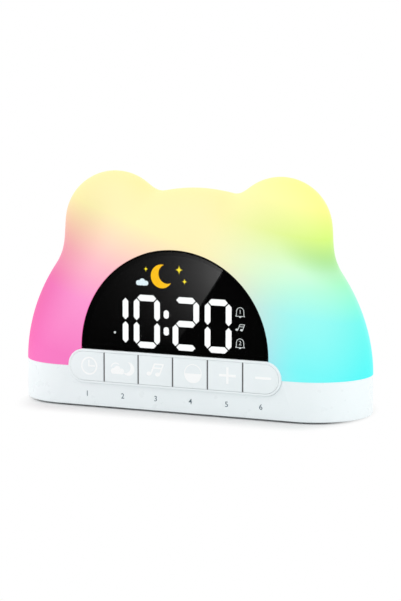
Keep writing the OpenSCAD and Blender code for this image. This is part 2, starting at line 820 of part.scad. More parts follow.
// ---------- speaker ----------

module speaker_gasket() color("black") difference() {
  post([speaker_x, 0], speaker_r, cover_z, speaker_z);
  post([speaker_x, 0], cone_r, cover_z - over, speaker_z + over);
}

module speaker_frame() color("gray") translate([speaker_x, 0, speaker_z]) rotate_extrude() polygon([
  [cone_r, 0], [speaker_r, 0], [speaker_r, basket_rim_t], [cone_r + basket_t, basket_rim_t],
  [magnet_r + basket_t, basket_h], [magnet_r + basket_t, basket_h + basket_t],
  [coil_hole_r, basket_h + basket_t], [coil_hole_r, basket_h], [magnet_r, basket_h], [cone_r, basket_rim_t]
]);

module speaker_cone() color([0.1, 0.1, 0.1]) translate([speaker_x, 0, speaker_z]) rotate_extrude() polygon([
  [cone_r - touch, cone_low], [cone_r - touch, cone_low + surround[1]],
  [cone_r - surround[0], cone_low + surround[1]], [neck_r, neck_z + cone_t], [coil_r, neck_z + cone_t],
  [coil_r, coil_top], [coil_r - cone_t, coil_top], [coil_r - cone_t, neck_z + touch], [0, cap_z + cone_t],
  [0, cap_z], [coil_r, neck_z - 2 * touch], [neck_r, neck_z], [cone_r - surround[0], cone_low]
]);

module speaker_magnet() color("silver") difference() {
  post([speaker_x, 0], magnet_r, speaker_z + basket_h + basket_t, cover_z + speaker_h);
  post([speaker_x, 0], coil_hole_r + 0.2, speaker_z + basket_h, speaker_z + basket_h + basket_t + 1.5);
}

// Foam that presses the speaker down from the deck
module speaker_pad() color("dimgray") post([speaker_x, 0], magnet_r - 2, cover_z + speaker_h, deck_z);

// ---------- backup power ----------

function cell_y(i) = bay_y + (i - (cell_count - 1) / 2) * cell_pitch;
// Cells lie head to tail: 1 where the knob points right, -1 where it points left
function cell_side(i) = i % 2 == 0 ? 1 : -1;

// Turns what is drawn along Z, knob end up, into the place of cell i
module at_cell(i) translate([bay_x, cell_y(i), cell_z]) rotate([0, 90 * cell_side(i), 0]) children();

module backup_cells() color("seagreen")
  for (i = [0:cell_count - 1]) at_cell(i) {
    translate([0, 0, cell_shift - cell_len / 2]) cylinder(h = cell_len - knob_len, r = cell_r);
    translate([0, 0, cell_shift + cell_len / 2 - knob_len - lap]) cylinder(h = knob_len + lap, r = knob_r);
  }

module contact_plates() color("silver")
  for (i = [0:cell_count - 1]) for (side = [-1, 1])
    translate([bay_x + side * (bay_len / 2 - plate_t / 2 - plate_gap), cell_y(i), cell_z])
      cube([plate_t, plate_w, plate_w], center = true);

// Coil springs between the cells' flat ends and their plates
module contact_springs() color("silver")
  for (i = [0:cell_count - 1]) at_cell(i)
    tube([for (k = [0:spring_steps]) [
      spring_r(k / spring_steps) * cos(k * 36), spring_r(k / spring_steps) * sin(k * 36),
      plate_t + spring_gap - bay_len / 2 + k / spring_steps * spring_room
    ]], spring_wire_r, 6);
function spring_r(t) = spring_wide - (spring_wide - spring_narrow) * t;

module battery_door() color("white") difference() {
  door_outline(0, foot_h, door_z);
  for (place = door_screw_places) {
    post(place, screw_r + screw_play, foot_h - over, door_z + over);
    post(place, screw_head_r + screw_play, foot_h - over, foot_h + door_head_t);
  }
  // Finger grip: three shallow grooves
  for (i = [-1:1])
    translate([bay_x - groove[0] / 2, bay_y + i * groove_pitch - groove[1] / 2, foot_h - over])
      cube([groove[0], groove[1], groove[2] + over]);
}

module battery_door_screws() color("silver")
  for (place = door_screw_places) {
    post(place, screw_head_r, foot_h, foot_h + door_head_t);
    post(place, screw_r, foot_h, foot_h + door_screw_len);
  }

// ---------- leads ----------

// Round tube along a list of points, with the given number of sides
module tube(points, r, sides) {
  n = len(points);
  rings = [for (i = [0:n - 1]) let (
    ahead = points[min(i + 1, n - 1)] - points[max(i - 1, 0)],
    t = ahead / norm(ahead),
    u = cross(t, abs(t[2]) > 0.9 ? [1, 0, 0] : [0, 0, 1]),
    side = u / norm(u),
    up = cross(side, t)
  ) for (s = [0:sides - 1]) points[i] + r * (cos(s * 360 / sides) * side + sin(s * 360 / sides) * up)];
  polyhedron(rings, concat(
    [[for (s = [0:sides - 1]) s]],
    [for (i = [0:n - 2]) for (s = [0:sides - 1])
      [i * sides + s, (i + 1) * sides + s, (i + 1) * sides + (s + 1) % sides, i * sides + (s + 1) % sides]],
    [[for (s = [sides - 1:-1:0]) (n - 1) * sides + s]]
  ));
}

module speaker_leads() color("firebrick") tube(speaker_route, lead_r, lead_sides);

module light_leads() color("gold") tube(light_route, lead_r, lead_sides);

// Flat cable from the display's board out through the slot and down to the deck
module display_ribbon() color("lightgray") {
  translate([-ribbon[0] / 2, housing_back - housing_t - play, ribbon_z - ribbon[1] / 2])
    cube([ribbon[0], housing_t + play + ribbon_off + ribbon[1], ribbon[1]]);
  translate([-ribbon[0] / 2, housing_back + ribbon_off, seam_z + touch])
    cube([ribbon[0], ribbon[1], ribbon_z + ribbon[1] / 2 - seam_z - touch]);
}

// ---------- the whole clock ----------

seated() dome_diffuser();
seated() base_shell();
seated() bottom_cover();
seated() rubber_feet();
seated() cover_screws();
seated() dome_screws();
seated() display_lens();
seated() lens_gasket();
seated() display_housing();
seated() housing_screws();
seated() segment_mask();
seated() lit_segments();
seated() unlit_segments();
seated() night_picture();
seated() status_icons();
seated() display_board();
seated() digit_leds();
seated() key_bezel();
seated() keycap(0);  // clock_key
seated() keycap(1);  // light_key
seated() keycap(2);  // music_key
seated() keycap(3);  // display_key
seated() keycap(4);  // plus_key
seated() keycap(5);  // minus_key
seated() plunger(0);  // clock_plunger
seated() plunger(1);  // light_plunger
seated() plunger(2);  // music_plunger
seated() plunger(3);  // display_plunger
seated() plunger(4);  // plus_plunger
seated() plunger(5);  // minus_plunger
seated() key_switches();
seated() key_board();
seated() key_board_screws();
seated() light_board();
seated() light_leds();
seated() light_board_screws();
seated() light_reflector();
seated() main_board();
seated() main_board_screws();
seated() circuit_chips();
seated() capacitors();
seated() crystal();
seated() connectors();
seated() power_socket();
seated() speaker_frame();
seated() speaker_cone();
seated() speaker_magnet();
seated() speaker_gasket();
seated() speaker_pad();
seated() backup_cells();
seated() contact_springs();
seated() contact_plates();
seated() battery_door();
seated() battery_door_screws();
seated() speaker_leads();
seated() light_leads();
seated() display_ribbon();
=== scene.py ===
"""Looks of a bedside clock with a night light: a glowing dome with two round ears on a white base,
a half-round smoked display and a strip of six keys. Lengths are in metres, in the frame of the
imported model: X to the right, Y to the back, Z up from the table."""
import json
import math

import bmesh
import bpy
import numpy as np
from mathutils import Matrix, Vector


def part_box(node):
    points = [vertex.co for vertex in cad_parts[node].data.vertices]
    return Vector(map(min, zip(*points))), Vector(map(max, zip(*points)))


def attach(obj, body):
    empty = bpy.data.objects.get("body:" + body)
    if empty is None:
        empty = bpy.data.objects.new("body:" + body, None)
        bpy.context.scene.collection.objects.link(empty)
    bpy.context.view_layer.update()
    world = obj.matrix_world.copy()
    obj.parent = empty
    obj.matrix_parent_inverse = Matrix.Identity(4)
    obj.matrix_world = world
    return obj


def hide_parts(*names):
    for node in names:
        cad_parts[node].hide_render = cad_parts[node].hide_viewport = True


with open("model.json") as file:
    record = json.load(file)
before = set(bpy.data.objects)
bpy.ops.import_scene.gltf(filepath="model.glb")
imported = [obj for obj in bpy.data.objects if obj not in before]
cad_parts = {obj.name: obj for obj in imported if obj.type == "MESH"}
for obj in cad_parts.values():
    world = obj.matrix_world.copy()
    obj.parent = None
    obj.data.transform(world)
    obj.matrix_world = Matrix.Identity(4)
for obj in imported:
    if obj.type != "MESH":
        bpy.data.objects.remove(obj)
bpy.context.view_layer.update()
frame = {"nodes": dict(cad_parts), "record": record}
NODES = frame["nodes"]

MM = 0.001

# Camera. SHIFT moves the view, in shares of the picture's longer side
IMAGE_LONG_SIDE = 601
FOCAL_PIXELS = 2515.1
YAW = math.radians(24.424)
ELEVATION = math.radians(7.82)
DISTANCE = 1.2
AIM = Vector((0, 0.0006, 0.0512))
SHIFT = (0.00556, -0.00257)
SENSOR = 36
NEAREST_SEEN = 0.05
FARTHEST_SEEN = 100

# Places read from the frame
DOME_LOW, DOME_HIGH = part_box("dome_diffuser")
LENS_LOW, LENS_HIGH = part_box("display_lens")
RIM_LOW, RIM_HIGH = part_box("key_bezel")
DOOR_LOW, DOOR_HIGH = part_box("battery_door")
PICTURE_LOW, PICTURE_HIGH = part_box("night_picture")
MARKS_LOW, MARKS_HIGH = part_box("status_icons")
SEAM_Z = DOME_LOW.z
MIDDLE_Y = (DOME_LOW.y + DOME_HIGH.y) / 2
HALF_WIDTH = (DOME_HIGH.x - DOME_LOW.x) / 2
HALF_DEPTH = (DOME_HIGH.y - DOME_LOW.y) / 2
FRONT_Y = DOME_LOW.y
LENS_R = (LENS_HIGH.x - LENS_LOW.x) / 2
LENS_Z = LENS_HIGH.z - LENS_R
LENS_FLOOR = LENS_LOW.z
KEY_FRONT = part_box("clock_key")[0].y
COVER_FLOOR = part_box("bottom_cover")[0].z
END_X = HALF_WIDTH - HALF_DEPTH

# Meshes: the slack in a comparison of places, how near two points are one, and how far a cutter
# stands out of what it cuts
LEAST = 0.02 * MM
SAME_PLACE = 0.001 * MM
CUTTER_OVER = 5 * MM

# Angles in degrees: up to FLAT two faces are one, and from SHARP on an edge is there to be rounded
FLAT = 0.5
SHARP = 40

# Least cosine reckoned with at a drawn line's corner, so that none reaches too far out
MITRE = 0.4

# Key strip
STRIP_Z = (RIM_LOW.z + RIM_HIGH.z) / 2
STRIP_LEN = 110 * MM
STRIP_H = 16.2 * MM
RIM_W = 1.1 * MM
KEYS = ["clock", "light", "music", "display", "plus", "minus"]
KEY_PITCH = 17.9 * MM
# Dark bars of painted shade in the slits between the keys: their width, how far behind the key fronts they
# start and end, and their clearance from the rim
SHADE_BAR_W = 0.66 * MM
SHADE_BAR_BACK = 0.3 * MM
SHADE_BAR_END = 4 * MM
SHADE_BAR_CLEAR = 0.05 * MM

# Dome. CROWN is the power in its outline's formula: 2 gives a round arc, and less gives slightly
# leaner shoulders
DOME_TOP = 84.8 * MM
WALL = 2 * MM
CROWN = 1.935
EAR_R = 24.55 * MM
EAR_UP = 67 * MM
EAR_X = 43.1 * MM
EAR_HALF_DEPTH = 20 * MM
BLEND_INSIDE = 6.7 * MM
BLEND_OUTSIDE = 12 * MM
BLEND_RUN = 30 * MM
LENS_GAP = 0.15 * MM
STRIP_GAP = 0.1 * MM

# Mesh of the dome: rays in rings, which crowd half way between front and back. Where a ray leaves
# the form is found by halving
RINGS = 180
SPOKES = 240
CROWDING = 0.55
FARTHEST_SKIN = 200 * MM
HALVINGS = 40

# Edges of the mouldings: the radius of each rounding, how near the outline an edge has to be, and
# half the size of the middle part of the door whose edges stay sharp
BASE_ROUND = 0.7 * MM
SEAM_ROUND = 0.2 * MM
COVER_ROUND = 0.3 * MM
DOOR_ROUND = 0.25 * MM
FOOT_ROUND = 0.5 * MM
SCREW_ROUND = 0.3 * MM
RIM_ROUND = 0.45 * MM
KEY_ROUND = 0.22 * MM
LENS_ROUND = 0.15 * MM
OUTLINE_BAND = 0.1 * MM
COVER_BAND = 2.5 * MM
DOOR_MIDDLE = (10 * MM, 8 * MM)

# Screws. The cross recess is a plus sign in millimetres: length, height, width
SCREWS_APART = 6 * MM
RECESS = (2.3, 2.3, 0.55)
COVER_RECESS_DEPTH = 0.7 * MM
DOOR_RECESS_DEPTH = 0.45 * MM

# Key signs and the numbers under them, with places in millimetres
SIGN_PLACES = [(-43.6, 20.2), (-25.9, 20.1), (-8.4, 20.4), (10.6, 20.1), (28.2, 20.4), (46.2, 20.4)]
NUMBER_PLACES = [(-45.3, 6.5), (-26.5, 6.5), (-9.2, 6.5), (8.8, 6.5), (27.3, 6.5), (44.6, 6.5)]
SIGN_NEAR = KEY_FRONT - 0.04 * MM
SIGN_FAR = KEY_FRONT + 0.01 * MM
SIGN_LINE = 0.75 * MM
HAND_LINE = 0.7 * MM
SUN_LINE = 0.45 * MM
DISPLAY_LINE = 0.4 * MM
MUSIC_SCALE = 1.9
NUMBER_NEAR = FRONT_Y - 0.03 * MM
NUMBER_FAR = FRONT_Y + 0.01 * MM
NUMBER_HEIGHT = 2.5 * MM
NUMBER_BOLD = 0.02 * MM

# Shapes of the signs, in millimetres from their middles. SUN is an arc: its centre, its radius and
# its ends in degrees. CRESCENT is a disc's radius, then the centre and the radius of the bite in it
DIAL_R = 3.95
HANDS = [(-0.2, 2.9), (-0.2, 0), (3.1, 0)]
SUN = ((-3.6, -0.2), 2.55, 50, 165)
CRESCENT = (3.2, (-1.6, 0.7), 2.75)
DISPLAY_R = 4.3
PLUS_SIZE = (8.6, 7.8, 1.15)
MINUS_SIZE = (8.2, 1.15)
NOTE_HEADS = [(-1.65, -0.95), (0.72, -1.05)]
NOTE_HEAD_R = 0.66
NOTE_LINES = [[(-1.12, -0.95), (-0.11, 1.5), (2.26, 1.5), (1.25, -1.05)], [(-0.5, 0.55), (1.92, 0.5)]]

# Share of a font's size that its digits are high
DIGIT_SHARE = 0.69

# Marks beside the numerals, in millimetres: the bells' heights with their numbers
MARK_X = 33.5
BELLS = [(50.0, "1"), (35.4, "2")]
NOTE_Z = 42.8
AFTERNOON_DOT = (-31.1, 36.7)
DOT_R = 0.55
MARK_LINE = 0.27 * MM
BELL_NUMBER_HEIGHT = 2.0 * MM
BELL_NUMBER_BOLD = -0.02 * MM

# Lit picture, in millimetres: places, and sizes of the crescent and the sparkles. The bite out of
# the crescent is given in shares of its size: place and radius
MOON = (-6.6, 64.7)
MOON_SIZE = 5.6
MOON_BITE = ((0.52, 0.22), 0.82)
CLOUD = (-16.7, 61.3)
SPARKLES = [(2.4, 68.2, 2.2), (5.2, 62.8, 1.5), (-14.8, 67.8, 1.3)]

# Discs (x, z, radius) that make up the cloud of the picture and that of the light key
PICTURE_PUFFS = [(-2, -0.2, 1.2), (0, 0.3, 1.6), (2, -0.2, 1.15), (-0.9, -0.7, 0.8), (0.9, -0.7, 0.8)]
SIGN_PUFFS = [(-1.7, -0.35, 1.1), (0, 0.3, 1.45), (1.8, -0.35, 1.15), (0, -0.7, 0.8), (-1, -0.75, 0.72),
              (1, -0.75, 0.72)]

# Surroundings: strength of their light on the object, and the floor's colours as seen near the
# clock and as it lights the object. Near the clock the rendered shadow lies on painted shadow: the
# floor is painted grey there and fades to white, so that the shadow ends at SHADOW_GONE from the
# clock, and sooner beside its ends
AMBIENT = 0.86
FLOOR_HALF = 6
FLOOR_SEEN = (0.74, 0.74, 0.74, 1)
FLOOR_LIT = (0.9, 0.9, 0.9, 1)
SHADOW_GONE = 22 * MM
SHADOW_SQUEEZE = 1.75

# Range in which most of a noise lies
NOISE_RANGE = (0.3, 0.7)

# Square soft boxes: name, place, size, power
LAMPS = [
    ("lamp_above", (-0.25, -0.45, 1.1), 0.9, 2.9),
    ("lamp_left", (-1.2, 0.0, 0.35), 0.7, 2.4),
    ("lamp_right", (1.2, 0.15, 0.35), 0.7, 3.2),
]

# Card that the lens mirrors: dark, with a bright wedge. Its places are those of the mirrored
# points in the lens, in millimetres. The wedge's sharp edge runs from GLARE_LOW to GLARE_TOP
CARD_Y = -0.15
CARD_LEVEL = 0.03
CARD_OVER = 2 * MM
CARD_BELOW = 1 * MM
GLARE_TOP = (26.0, 70.3)
GLARE_LOW = (3.7, 36.9)
GLARE_PEAK_X = 24
GLARE_FADE = 17.5
GLARE_MOST = 0.3
GLARE_BASE = 30
GLARE_FULL = 66
GLARE_LEVEL = 1.6
GLARE_SHARP = 0.1 * MM
GLARE_MARGIN = (0.9 * MM, 0.6 * MM)

# Lens: its tint, the share of light that its surfaces pass, and the strength of what shows as
# white behind it
LENS_TINT = (0.22, 0.225, 0.225, 1)
LENS_PASSES = 0.92
THROUGH_LENS = 1 / (LENS_TINT[0] * LENS_PASSES)

# Glow of the dome: the share of its colour that is its own light, and screen colours by height in
# millimetres. The heights lean: they grow by a slope with x, from a middle in millimetres on
GLOW_SHARE = 0.68
GLOW_LEFT = [(25, 250, 130, 200), (55, 255, 160, 215), (75, 255, 195, 205), (100, 255, 245, 190)]
GLOW_RIGHT = [(25, 130, 250, 250), (50, 165, 250, 245), (70, 215, 255, 220), (85, 225, 250, 150),
              (100, 255, 255, 170)]
LEAN_LEFT = (-60, 0.3)
LEAN_RIGHT = (60, 0.22)
SIDES_MEET = (8 * MM, 67 * MM)

# Painted shade on the glow: its colour is made deeper at the sides, as far as the wall turns away,
# less so above the heights EDGE_HEIGHTS, and deeper and darker in two ellipses near the folds below
# the ears, which are given by middle, radii and turn
EDGE_FACING = (-0.6, 1.3)
EDGE_HEIGHTS = (60 * MM, 68 * MM)
EDGE_ABOVE = 0.45
EDGE_SHADE_DEEPER = 1.25
SHADED_CREASES = [((-72, 67), (60, 30), 55), ((73, 71), (28, 10), -30)]
CREASE_SHADE_DEEPER = 0.5
CREASE_SHADE = 0.82


def screen(red, green, blue):
    """Linear colour of an 8-bit screen colour."""
    share = [c / 255 for c in (red, green, blue)]
    return [c / 12.92 if c <= 0.04045 else ((c + 0.055) / 1.055) ** 2.4 for c in share] + [1]


WHITE = screen(236, 243, 245)
BLACK = (0.005, 0.0055, 0.0055, 1)
STEEL = (0.72, 0.73, 0.75, 1)


# ---------- shader trees ----------

def put(tree, kind, inputs=None, **settings):
    """A node with these settings. An input takes a value, or another node's socket."""
    made = tree.nodes.new(kind)
    for name, value in settings.items():
        setattr(made, name, value)
    for socket, value in (inputs or {}).items():
        if isinstance(value, bpy.types.NodeSocket):
            tree.links.new(value, made.inputs[socket])
        else:
            made.inputs[socket].default_value = value
    return made


def calculate(tree, operation, *values):
    """The result socket of a Math node."""
    return put(tree, "ShaderNodeMath", dict(enumerate(values)), operation=operation).outputs[0]


def spread(tree, value, low, high, to_low=0.0, to_high=1.0, smooth=False):
    """value, mapped from low..high to to_low..to_high and held at the ends."""
    kind = "SMOOTHSTEP" if smooth else "LINEAR"
    inputs = {"Value": value, "From Min": low, "From Max": high, "To Min": to_low, "To Max": to_high}
    return put(tree, "ShaderNodeMapRange", inputs, interpolation_type=kind).outputs[0]


def mix(tree, share, first, second):
    """A colour between first and second. The node has its colours at sockets 6 and 7, and 2."""
    return put(tree, "ShaderNodeMix", {0: share, 6: first, 7: second}, data_type="RGBA").outputs[2]


def own_place(tree):
    """The place of a point in the object's own space."""
    return put(tree, "ShaderNodeTexCoord").outputs["Object"]


def parted(tree, vector):
    """The sockets X, Y and Z of a vector."""
    return put(tree, "ShaderNodeSeparateXYZ", {"Vector": vector}).outputs


def length(tree, **parts):
    """Length of the vector that has these parts."""
    vector = put(tree, "ShaderNodeCombineXYZ", parts).outputs[0]
    return put(tree, "ShaderNodeVectorMath", {0: vector}, operation="LENGTH").outputs["Value"]


def noise(tree, scale, detail=2.0, stretch=(1, 1, 1)):
    """Noise from 0 to 1 in the object's own space. scale counts its waves in a metre."""
    place = put(tree, "ShaderNodeMapping", {"Vector": own_place(tree), "Scale": stretch}).outputs[0]
    return put(tree, "ShaderNodeTexNoise", {"Vector": place, "Scale": scale, "Detail": detail}).outputs[0]


def bump(tree, shader, height, depth):
    """Gives the shader a relief of this depth in metres."""
    made = put(tree, "ShaderNodeBump", {"Height": height, "Strength": 1.0, "Distance": depth})
    tree.links.new(made.outputs[0], shader.inputs["Normal"])


def new_material(name="", **sockets):
    """A material, its tree and its main shader with these socket values.

    The name may be left out where make_materials gives it.
    """
    material = bpy.data.materials.new(name)
    material.use_nodes = True
    tree = material.node_tree
    shader = tree.nodes["Principled BSDF"]
    for socket, value in sockets.items():
        shader.inputs[socket.replace("_", " ")].default_value = value
    return material, tree, shader


def mottled(tree, shader, colour, change, scale):
    """A base colour that wanders by a small share, as pigment in a moulding does."""
    dark = [c * (1 - change) for c in colour[:3]] + [1]
    light = [min(1, c * (1 + change)) for c in colour[:3]] + [1]
    tree.links.new(mix(tree, noise(tree, scale, 3), dark, light), shader.inputs["Base Color"])


# ---------- materials ----------

def moulded(colour, roughness, grain=1500, depth=0.004 * MM, change=0.01, scale=60, **sockets):
    """Moulded plastic with a fine grain."""
    material, tree, shader = new_material(Roughness=roughness, **sockets)
    mottled(tree, shader, colour, change, scale)
    worn = spread(tree, noise(tree, scale * 3, 4), *NOISE_RANGE, roughness - 0.04, roughness + 0.04)
    tree.links.new(worn, shader.inputs["Roughness"])
    bump(tree, shader, noise(tree, grain, 3), depth)
    return material


def metal(colour, roughness, stretch=(1, 1, 1), grain=900):
    """Plated or brushed metal. stretch draws the grain out along one direction."""
    material, tree, shader = new_material(Roughness=roughness, Metallic=1.0)
    mottled(tree, shader, colour, change=0.04, scale=200)
    lines = noise(tree, grain, 4, stretch)
    worn = spread(tree, lines, *NOISE_RANGE, roughness - 0.08, roughness + 0.08)
    tree.links.new(worn, shader.inputs["Roughness"])
    bump(tree, shader, lines, 0.01 * MM)
    return material


def foam(colour, gloss):
    """Open foam with small cells."""
    material, tree, shader = new_material(Roughness=0.95, Specular_IOR_Level=gloss)
    mottled(tree, shader, colour, change=0.15, scale=400)
    cells = put(tree, "ShaderNodeTexVoronoi", {"Vector": own_place(tree), "Scale": 2200})
    bump(tree, shader, cells.outputs["Distance"], 0.15 * MM)
    return material


def board(colour, track):
    """Circuit board: solder mask over a pattern of copper tracks."""
    material, tree, shader = new_material(Roughness=0.35)
    cells = put(tree, "ShaderNodeTexVoronoi", {"Vector": own_place(tree), "Scale": 260},
                distance="CHEBYCHEV", feature="F1")
    tracks = spread(tree, cells.outputs["Distance"], 0.42, 0.46)
    tree.links.new(mix(tree, tracks, colour, track), shader.inputs["Base Color"])
    bump(tree, shader, tracks, 0.03 * MM)
    return material


def pressed_paper(colour):
    """Speaker cone: dark fibres."""
    material, tree, shader = new_material(Roughness=0.9)
    mottled(tree, shader, colour, change=0.25, scale=900)
    bump(tree, shader, noise(tree, 1600, 5), 0.05 * MM)
    return material


def lit(colour, strength):
    """A lit diffuser, faintly uneven as light through a film is."""
    material, tree, shader = new_material(Roughness=0.5, Emission_Strength=strength)
    dim = [c * 0.93 for c in colour[:3]] + [1]
    uneven = mix(tree, noise(tree, 500, 3), dim, colour)
    tree.links.new(uneven, shader.inputs["Emission Color"])
    shade = [c * 0.5 for c in colour[:3]] + [1]
    shader.inputs["Base Color"].default_value = shade
    return material


def smoked_glass():
    """The display's lens: clear, tinted nearly black and polished, with the least haze."""
    material, tree, shader = new_material(Base_Color=LENS_TINT, Roughness=0.0, IOR=1.5,
                                          Transmission_Weight=1.0)
    haze = spread(tree, noise(tree, 60, 2), 0.4, 0.8, 0.0, 0.02)
    tree.links.new(haze, shader.inputs["Roughness"])
    return material


def glow_ramp(tree, height, stops):
    """Colours by height in millimetres."""
    low, high = stops[0][0], stops[-1][0]
    share = spread(tree, height, low * MM, high * MM)
    ramp = put(tree, "ShaderNodeValToRGB", {"Fac": share})
    points = ramp.color_ramp.elements
    while len(points) < len(stops):
        points.new(0.5)
    for point, stop in zip(points, stops):
        point.position = (stop[0] - low) / (high - low)
        point.color = screen(*stop[1:])
    return ramp.outputs["Color"]


def leaning(tree, x, z, middle, slope):
    """The height z, grown by a slope with the distance from a middle x in millimetres."""
    off = calculate(tree, "SUBTRACT", x, middle * MM)
    return calculate(tree, "ADD", z, calculate(tree, "MULTIPLY", off, slope))


def ellipse(tree, x, z, middle, radii, degrees):
    """1 at a middle in the front view and 0 outside a turned ellipse round it, smooth between."""
    turn = math.radians(degrees)
    off_x = calculate(tree, "SUBTRACT", x, middle[0] * MM)
    off_z = calculate(tree, "SUBTRACT", z, middle[1] * MM)
    shares = []
    for radius, along_x, along_z in ((radii[0], math.cos(turn), math.sin(turn)),
                                     (radii[1], -math.sin(turn), math.cos(turn))):
        along = calculate(tree, "ADD", calculate(tree, "MULTIPLY", off_x, along_x),
                          calculate(tree, "MULTIPLY", off_z, along_z))
        shares.append(calculate(tree, "DIVIDE", along, radius * MM))
    return spread(tree, length(tree, X=shares[0], Z=shares[1]), 0.0, 1.0, 1.0, 0.0, smooth=True)


def glow_shade_power(tree, z, facing, crease_shade):
    """Power that deepens the glow's colour as painted shade: at the sides, where facing is near 0, and in
    the creases.
    """
    edge = spread(tree, calculate(tree, "ABSOLUTE", facing), *EDGE_FACING, 1.0, 0.0, smooth=True)
    height = spread(tree, z, *EDGE_HEIGHTS, 1.0, EDGE_ABOVE, smooth=True)
    edge = calculate(tree, "MULTIPLY", edge, height)
    shade_deeper = calculate(tree, "ADD", calculate(tree, "MULTIPLY", edge, EDGE_SHADE_DEEPER),
                       calculate(tree, "MULTIPLY", crease_shade, CREASE_SHADE_DEEPER))
    return calculate(tree, "ADD", shade_deeper, 1.0)


def glowing_dome():
    """Milky dome over coloured lights: pink at the left, blue at the right, yellow at the top, with painted
    shade at its sides and in the creases below the ears.
    """
    material, tree, shader = new_material(Roughness=0.5, Specular_IOR_Level=0.25,
                                          Emission_Strength=GLOW_SHARE)
    place = parted(tree, own_place(tree))
    x, z = place["X"], place["Z"]
    facing = parted(tree, put(tree, "ShaderNodeTexCoord").outputs["Normal"])["Y"]
    left = glow_ramp(tree, leaning(tree, x, z, *LEAN_LEFT), GLOW_LEFT)
    right = glow_ramp(tree, leaning(tree, x, z, *LEAN_RIGHT), GLOW_RIGHT)
    colour = mix(tree, spread(tree, x, *SIDES_MEET, smooth=True), left, right)
    # Painted shade: the glow is made deeper in colour at the sides, and deeper and darker in the creases
    # below the ears
    crease_shade = calculate(tree, "MAXIMUM", *[ellipse(tree, x, z, *fold) for fold in SHADED_CREASES])
    power = glow_shade_power(tree, z, facing, crease_shade)
    colour = put(tree, "ShaderNodeGamma", {"Color": colour, "Gamma": power}).outputs[0]
    cloudy = spread(tree, noise(tree, 25, 2), *NOISE_RANGE, 0.985, 1.0)
    shade = calculate(tree, "MULTIPLY", cloudy, spread(tree, crease_shade, 0.0, 1.0, 1.0, CREASE_SHADE))
    colour = put(tree, "ShaderNodeVectorMath", {0: colour, 1: shade}, operation="MULTIPLY").outputs[0]
    body = put(tree, "ShaderNodeVectorMath", {0: colour, "Scale": 1 - GLOW_SHARE}, operation="SCALE")
    tree.links.new(body.outputs[0], shader.inputs["Base Color"])
    tree.links.new(colour, shader.inputs["Emission Color"])
    bump(tree, shader, noise(tree, 900, 3), 0.003 * MM)
    return material


def make_materials():
    """One material for each slot of the record, and some for prints and for the bars of painted shade in the
    key slits, which share a slot.
    """
    made = {
        "dome": glowing_dome(),
        "white_case": moulded(WHITE, 0.3, depth=0.0015 * MM, change=0.004),
        "white_keys": moulded(WHITE, 0.34, depth=0.0015 * MM, change=0.004),
        "white_inner": moulded((0.85, 0.85, 0.85, 1), 0.6),
        "smoked_lens": smoked_glass(),
        "black_plastic": moulded(BLACK, 0.7, depth=0.01 * MM, Specular_IOR_Level=0.1),
        # Painted shade: dark grey for the bars that stand in for the shadow in the key slits
        "slit_shade_grey": moulded((0.11, 0.11, 0.115, 1), 0.6, Specular_IOR_Level=0.3),
        "print_white": moulded(screen(251, 253, 253), 0.45),
        "print_grey": moulded(screen(80, 100, 112), 0.5),
        "black_foam": foam((0.006, 0.006, 0.006, 1), 0.05),
        "grey_foam": foam((0.08, 0.08, 0.085, 1), 0.2),
        "foot_rubber": moulded((0.10, 0.11, 0.12, 1), 0.8, grain=900, depth=0.03 * MM),
        "lit_white": lit((1, 1, 1, 1), THROUGH_LENS),
        "unlit": moulded((0.008, 0.008, 0.008, 1), 0.7, Specular_IOR_Level=0.1),
        "picture_print": lit(screen(252, 192, 14), THROUGH_LENS),
        "sparkle_print": lit(screen(250, 226, 40), THROUGH_LENS),
        "cloud_print": lit(screen(226, 240, 246), THROUGH_LENS),
        "icon_print": lit(screen(214, 218, 218), THROUGH_LENS),
        "green_board": board((0.01, 0.09, 0.03, 1), (0.02, 0.17, 0.06, 1)),
        "white_board": board((0.80, 0.80, 0.78, 1), (0.70, 0.70, 0.68, 1)),
        "led_body": moulded((0.86, 0.84, 0.66, 1), 0.3),
        "screw_steel": metal(STEEL, 0.3),
        "spring_steel": metal((0.78, 0.78, 0.76, 1), 0.2),
        "chip_black": moulded((0.02, 0.02, 0.022, 1), 0.5, depth=0.02 * MM),
        "capacitor_can": moulded((0.01, 0.015, 0.06, 1), 0.3),
        "crystal_can": metal((0.75, 0.75, 0.74, 1), 0.3, (1, 12, 1)),
        "ivory_plastic": moulded((0.83, 0.77, 0.60, 1), 0.5),
        "socket_steel": metal(STEEL, 0.28, (1, 10, 1)),
        "speaker_steel": metal((0.22, 0.22, 0.23, 1), 0.45),
        "speaker_paper": pressed_paper((0.03, 0.03, 0.03, 1)),
        "magnet": metal((0.55, 0.55, 0.57, 1), 0.35),
        "cell_sleeve": moulded((0.02, 0.14, 0.05, 1), 0.3),
        "lead_jacket": moulded((0.35, 0.02, 0.02, 1), 0.5),
        "lead_jacket_pale": moulded((0.65, 0.48, 0.08, 1), 0.5),
        "ribbon": moulded((0.65, 0.65, 0.63, 1), 0.45),
    }
    for slot, material in made.items():
        material.name = slot
    return made


def dress(obj, material):
    """This material alone on the whole object."""
    obj.data.materials.clear()
    obj.data.materials.append(material)


# ---------- meshes ----------

def add_mesh(name, points, faces):
    """A new mesh object in the scene."""
    mesh = bpy.data.meshes.new(name)
    mesh.from_pydata([tuple(p) for p in points], [], [tuple(f) for f in faces])
    mesh.validate()
    obj = bpy.data.objects.new(name, mesh)
    bpy.context.scene.collection.objects.link(obj)
    return obj


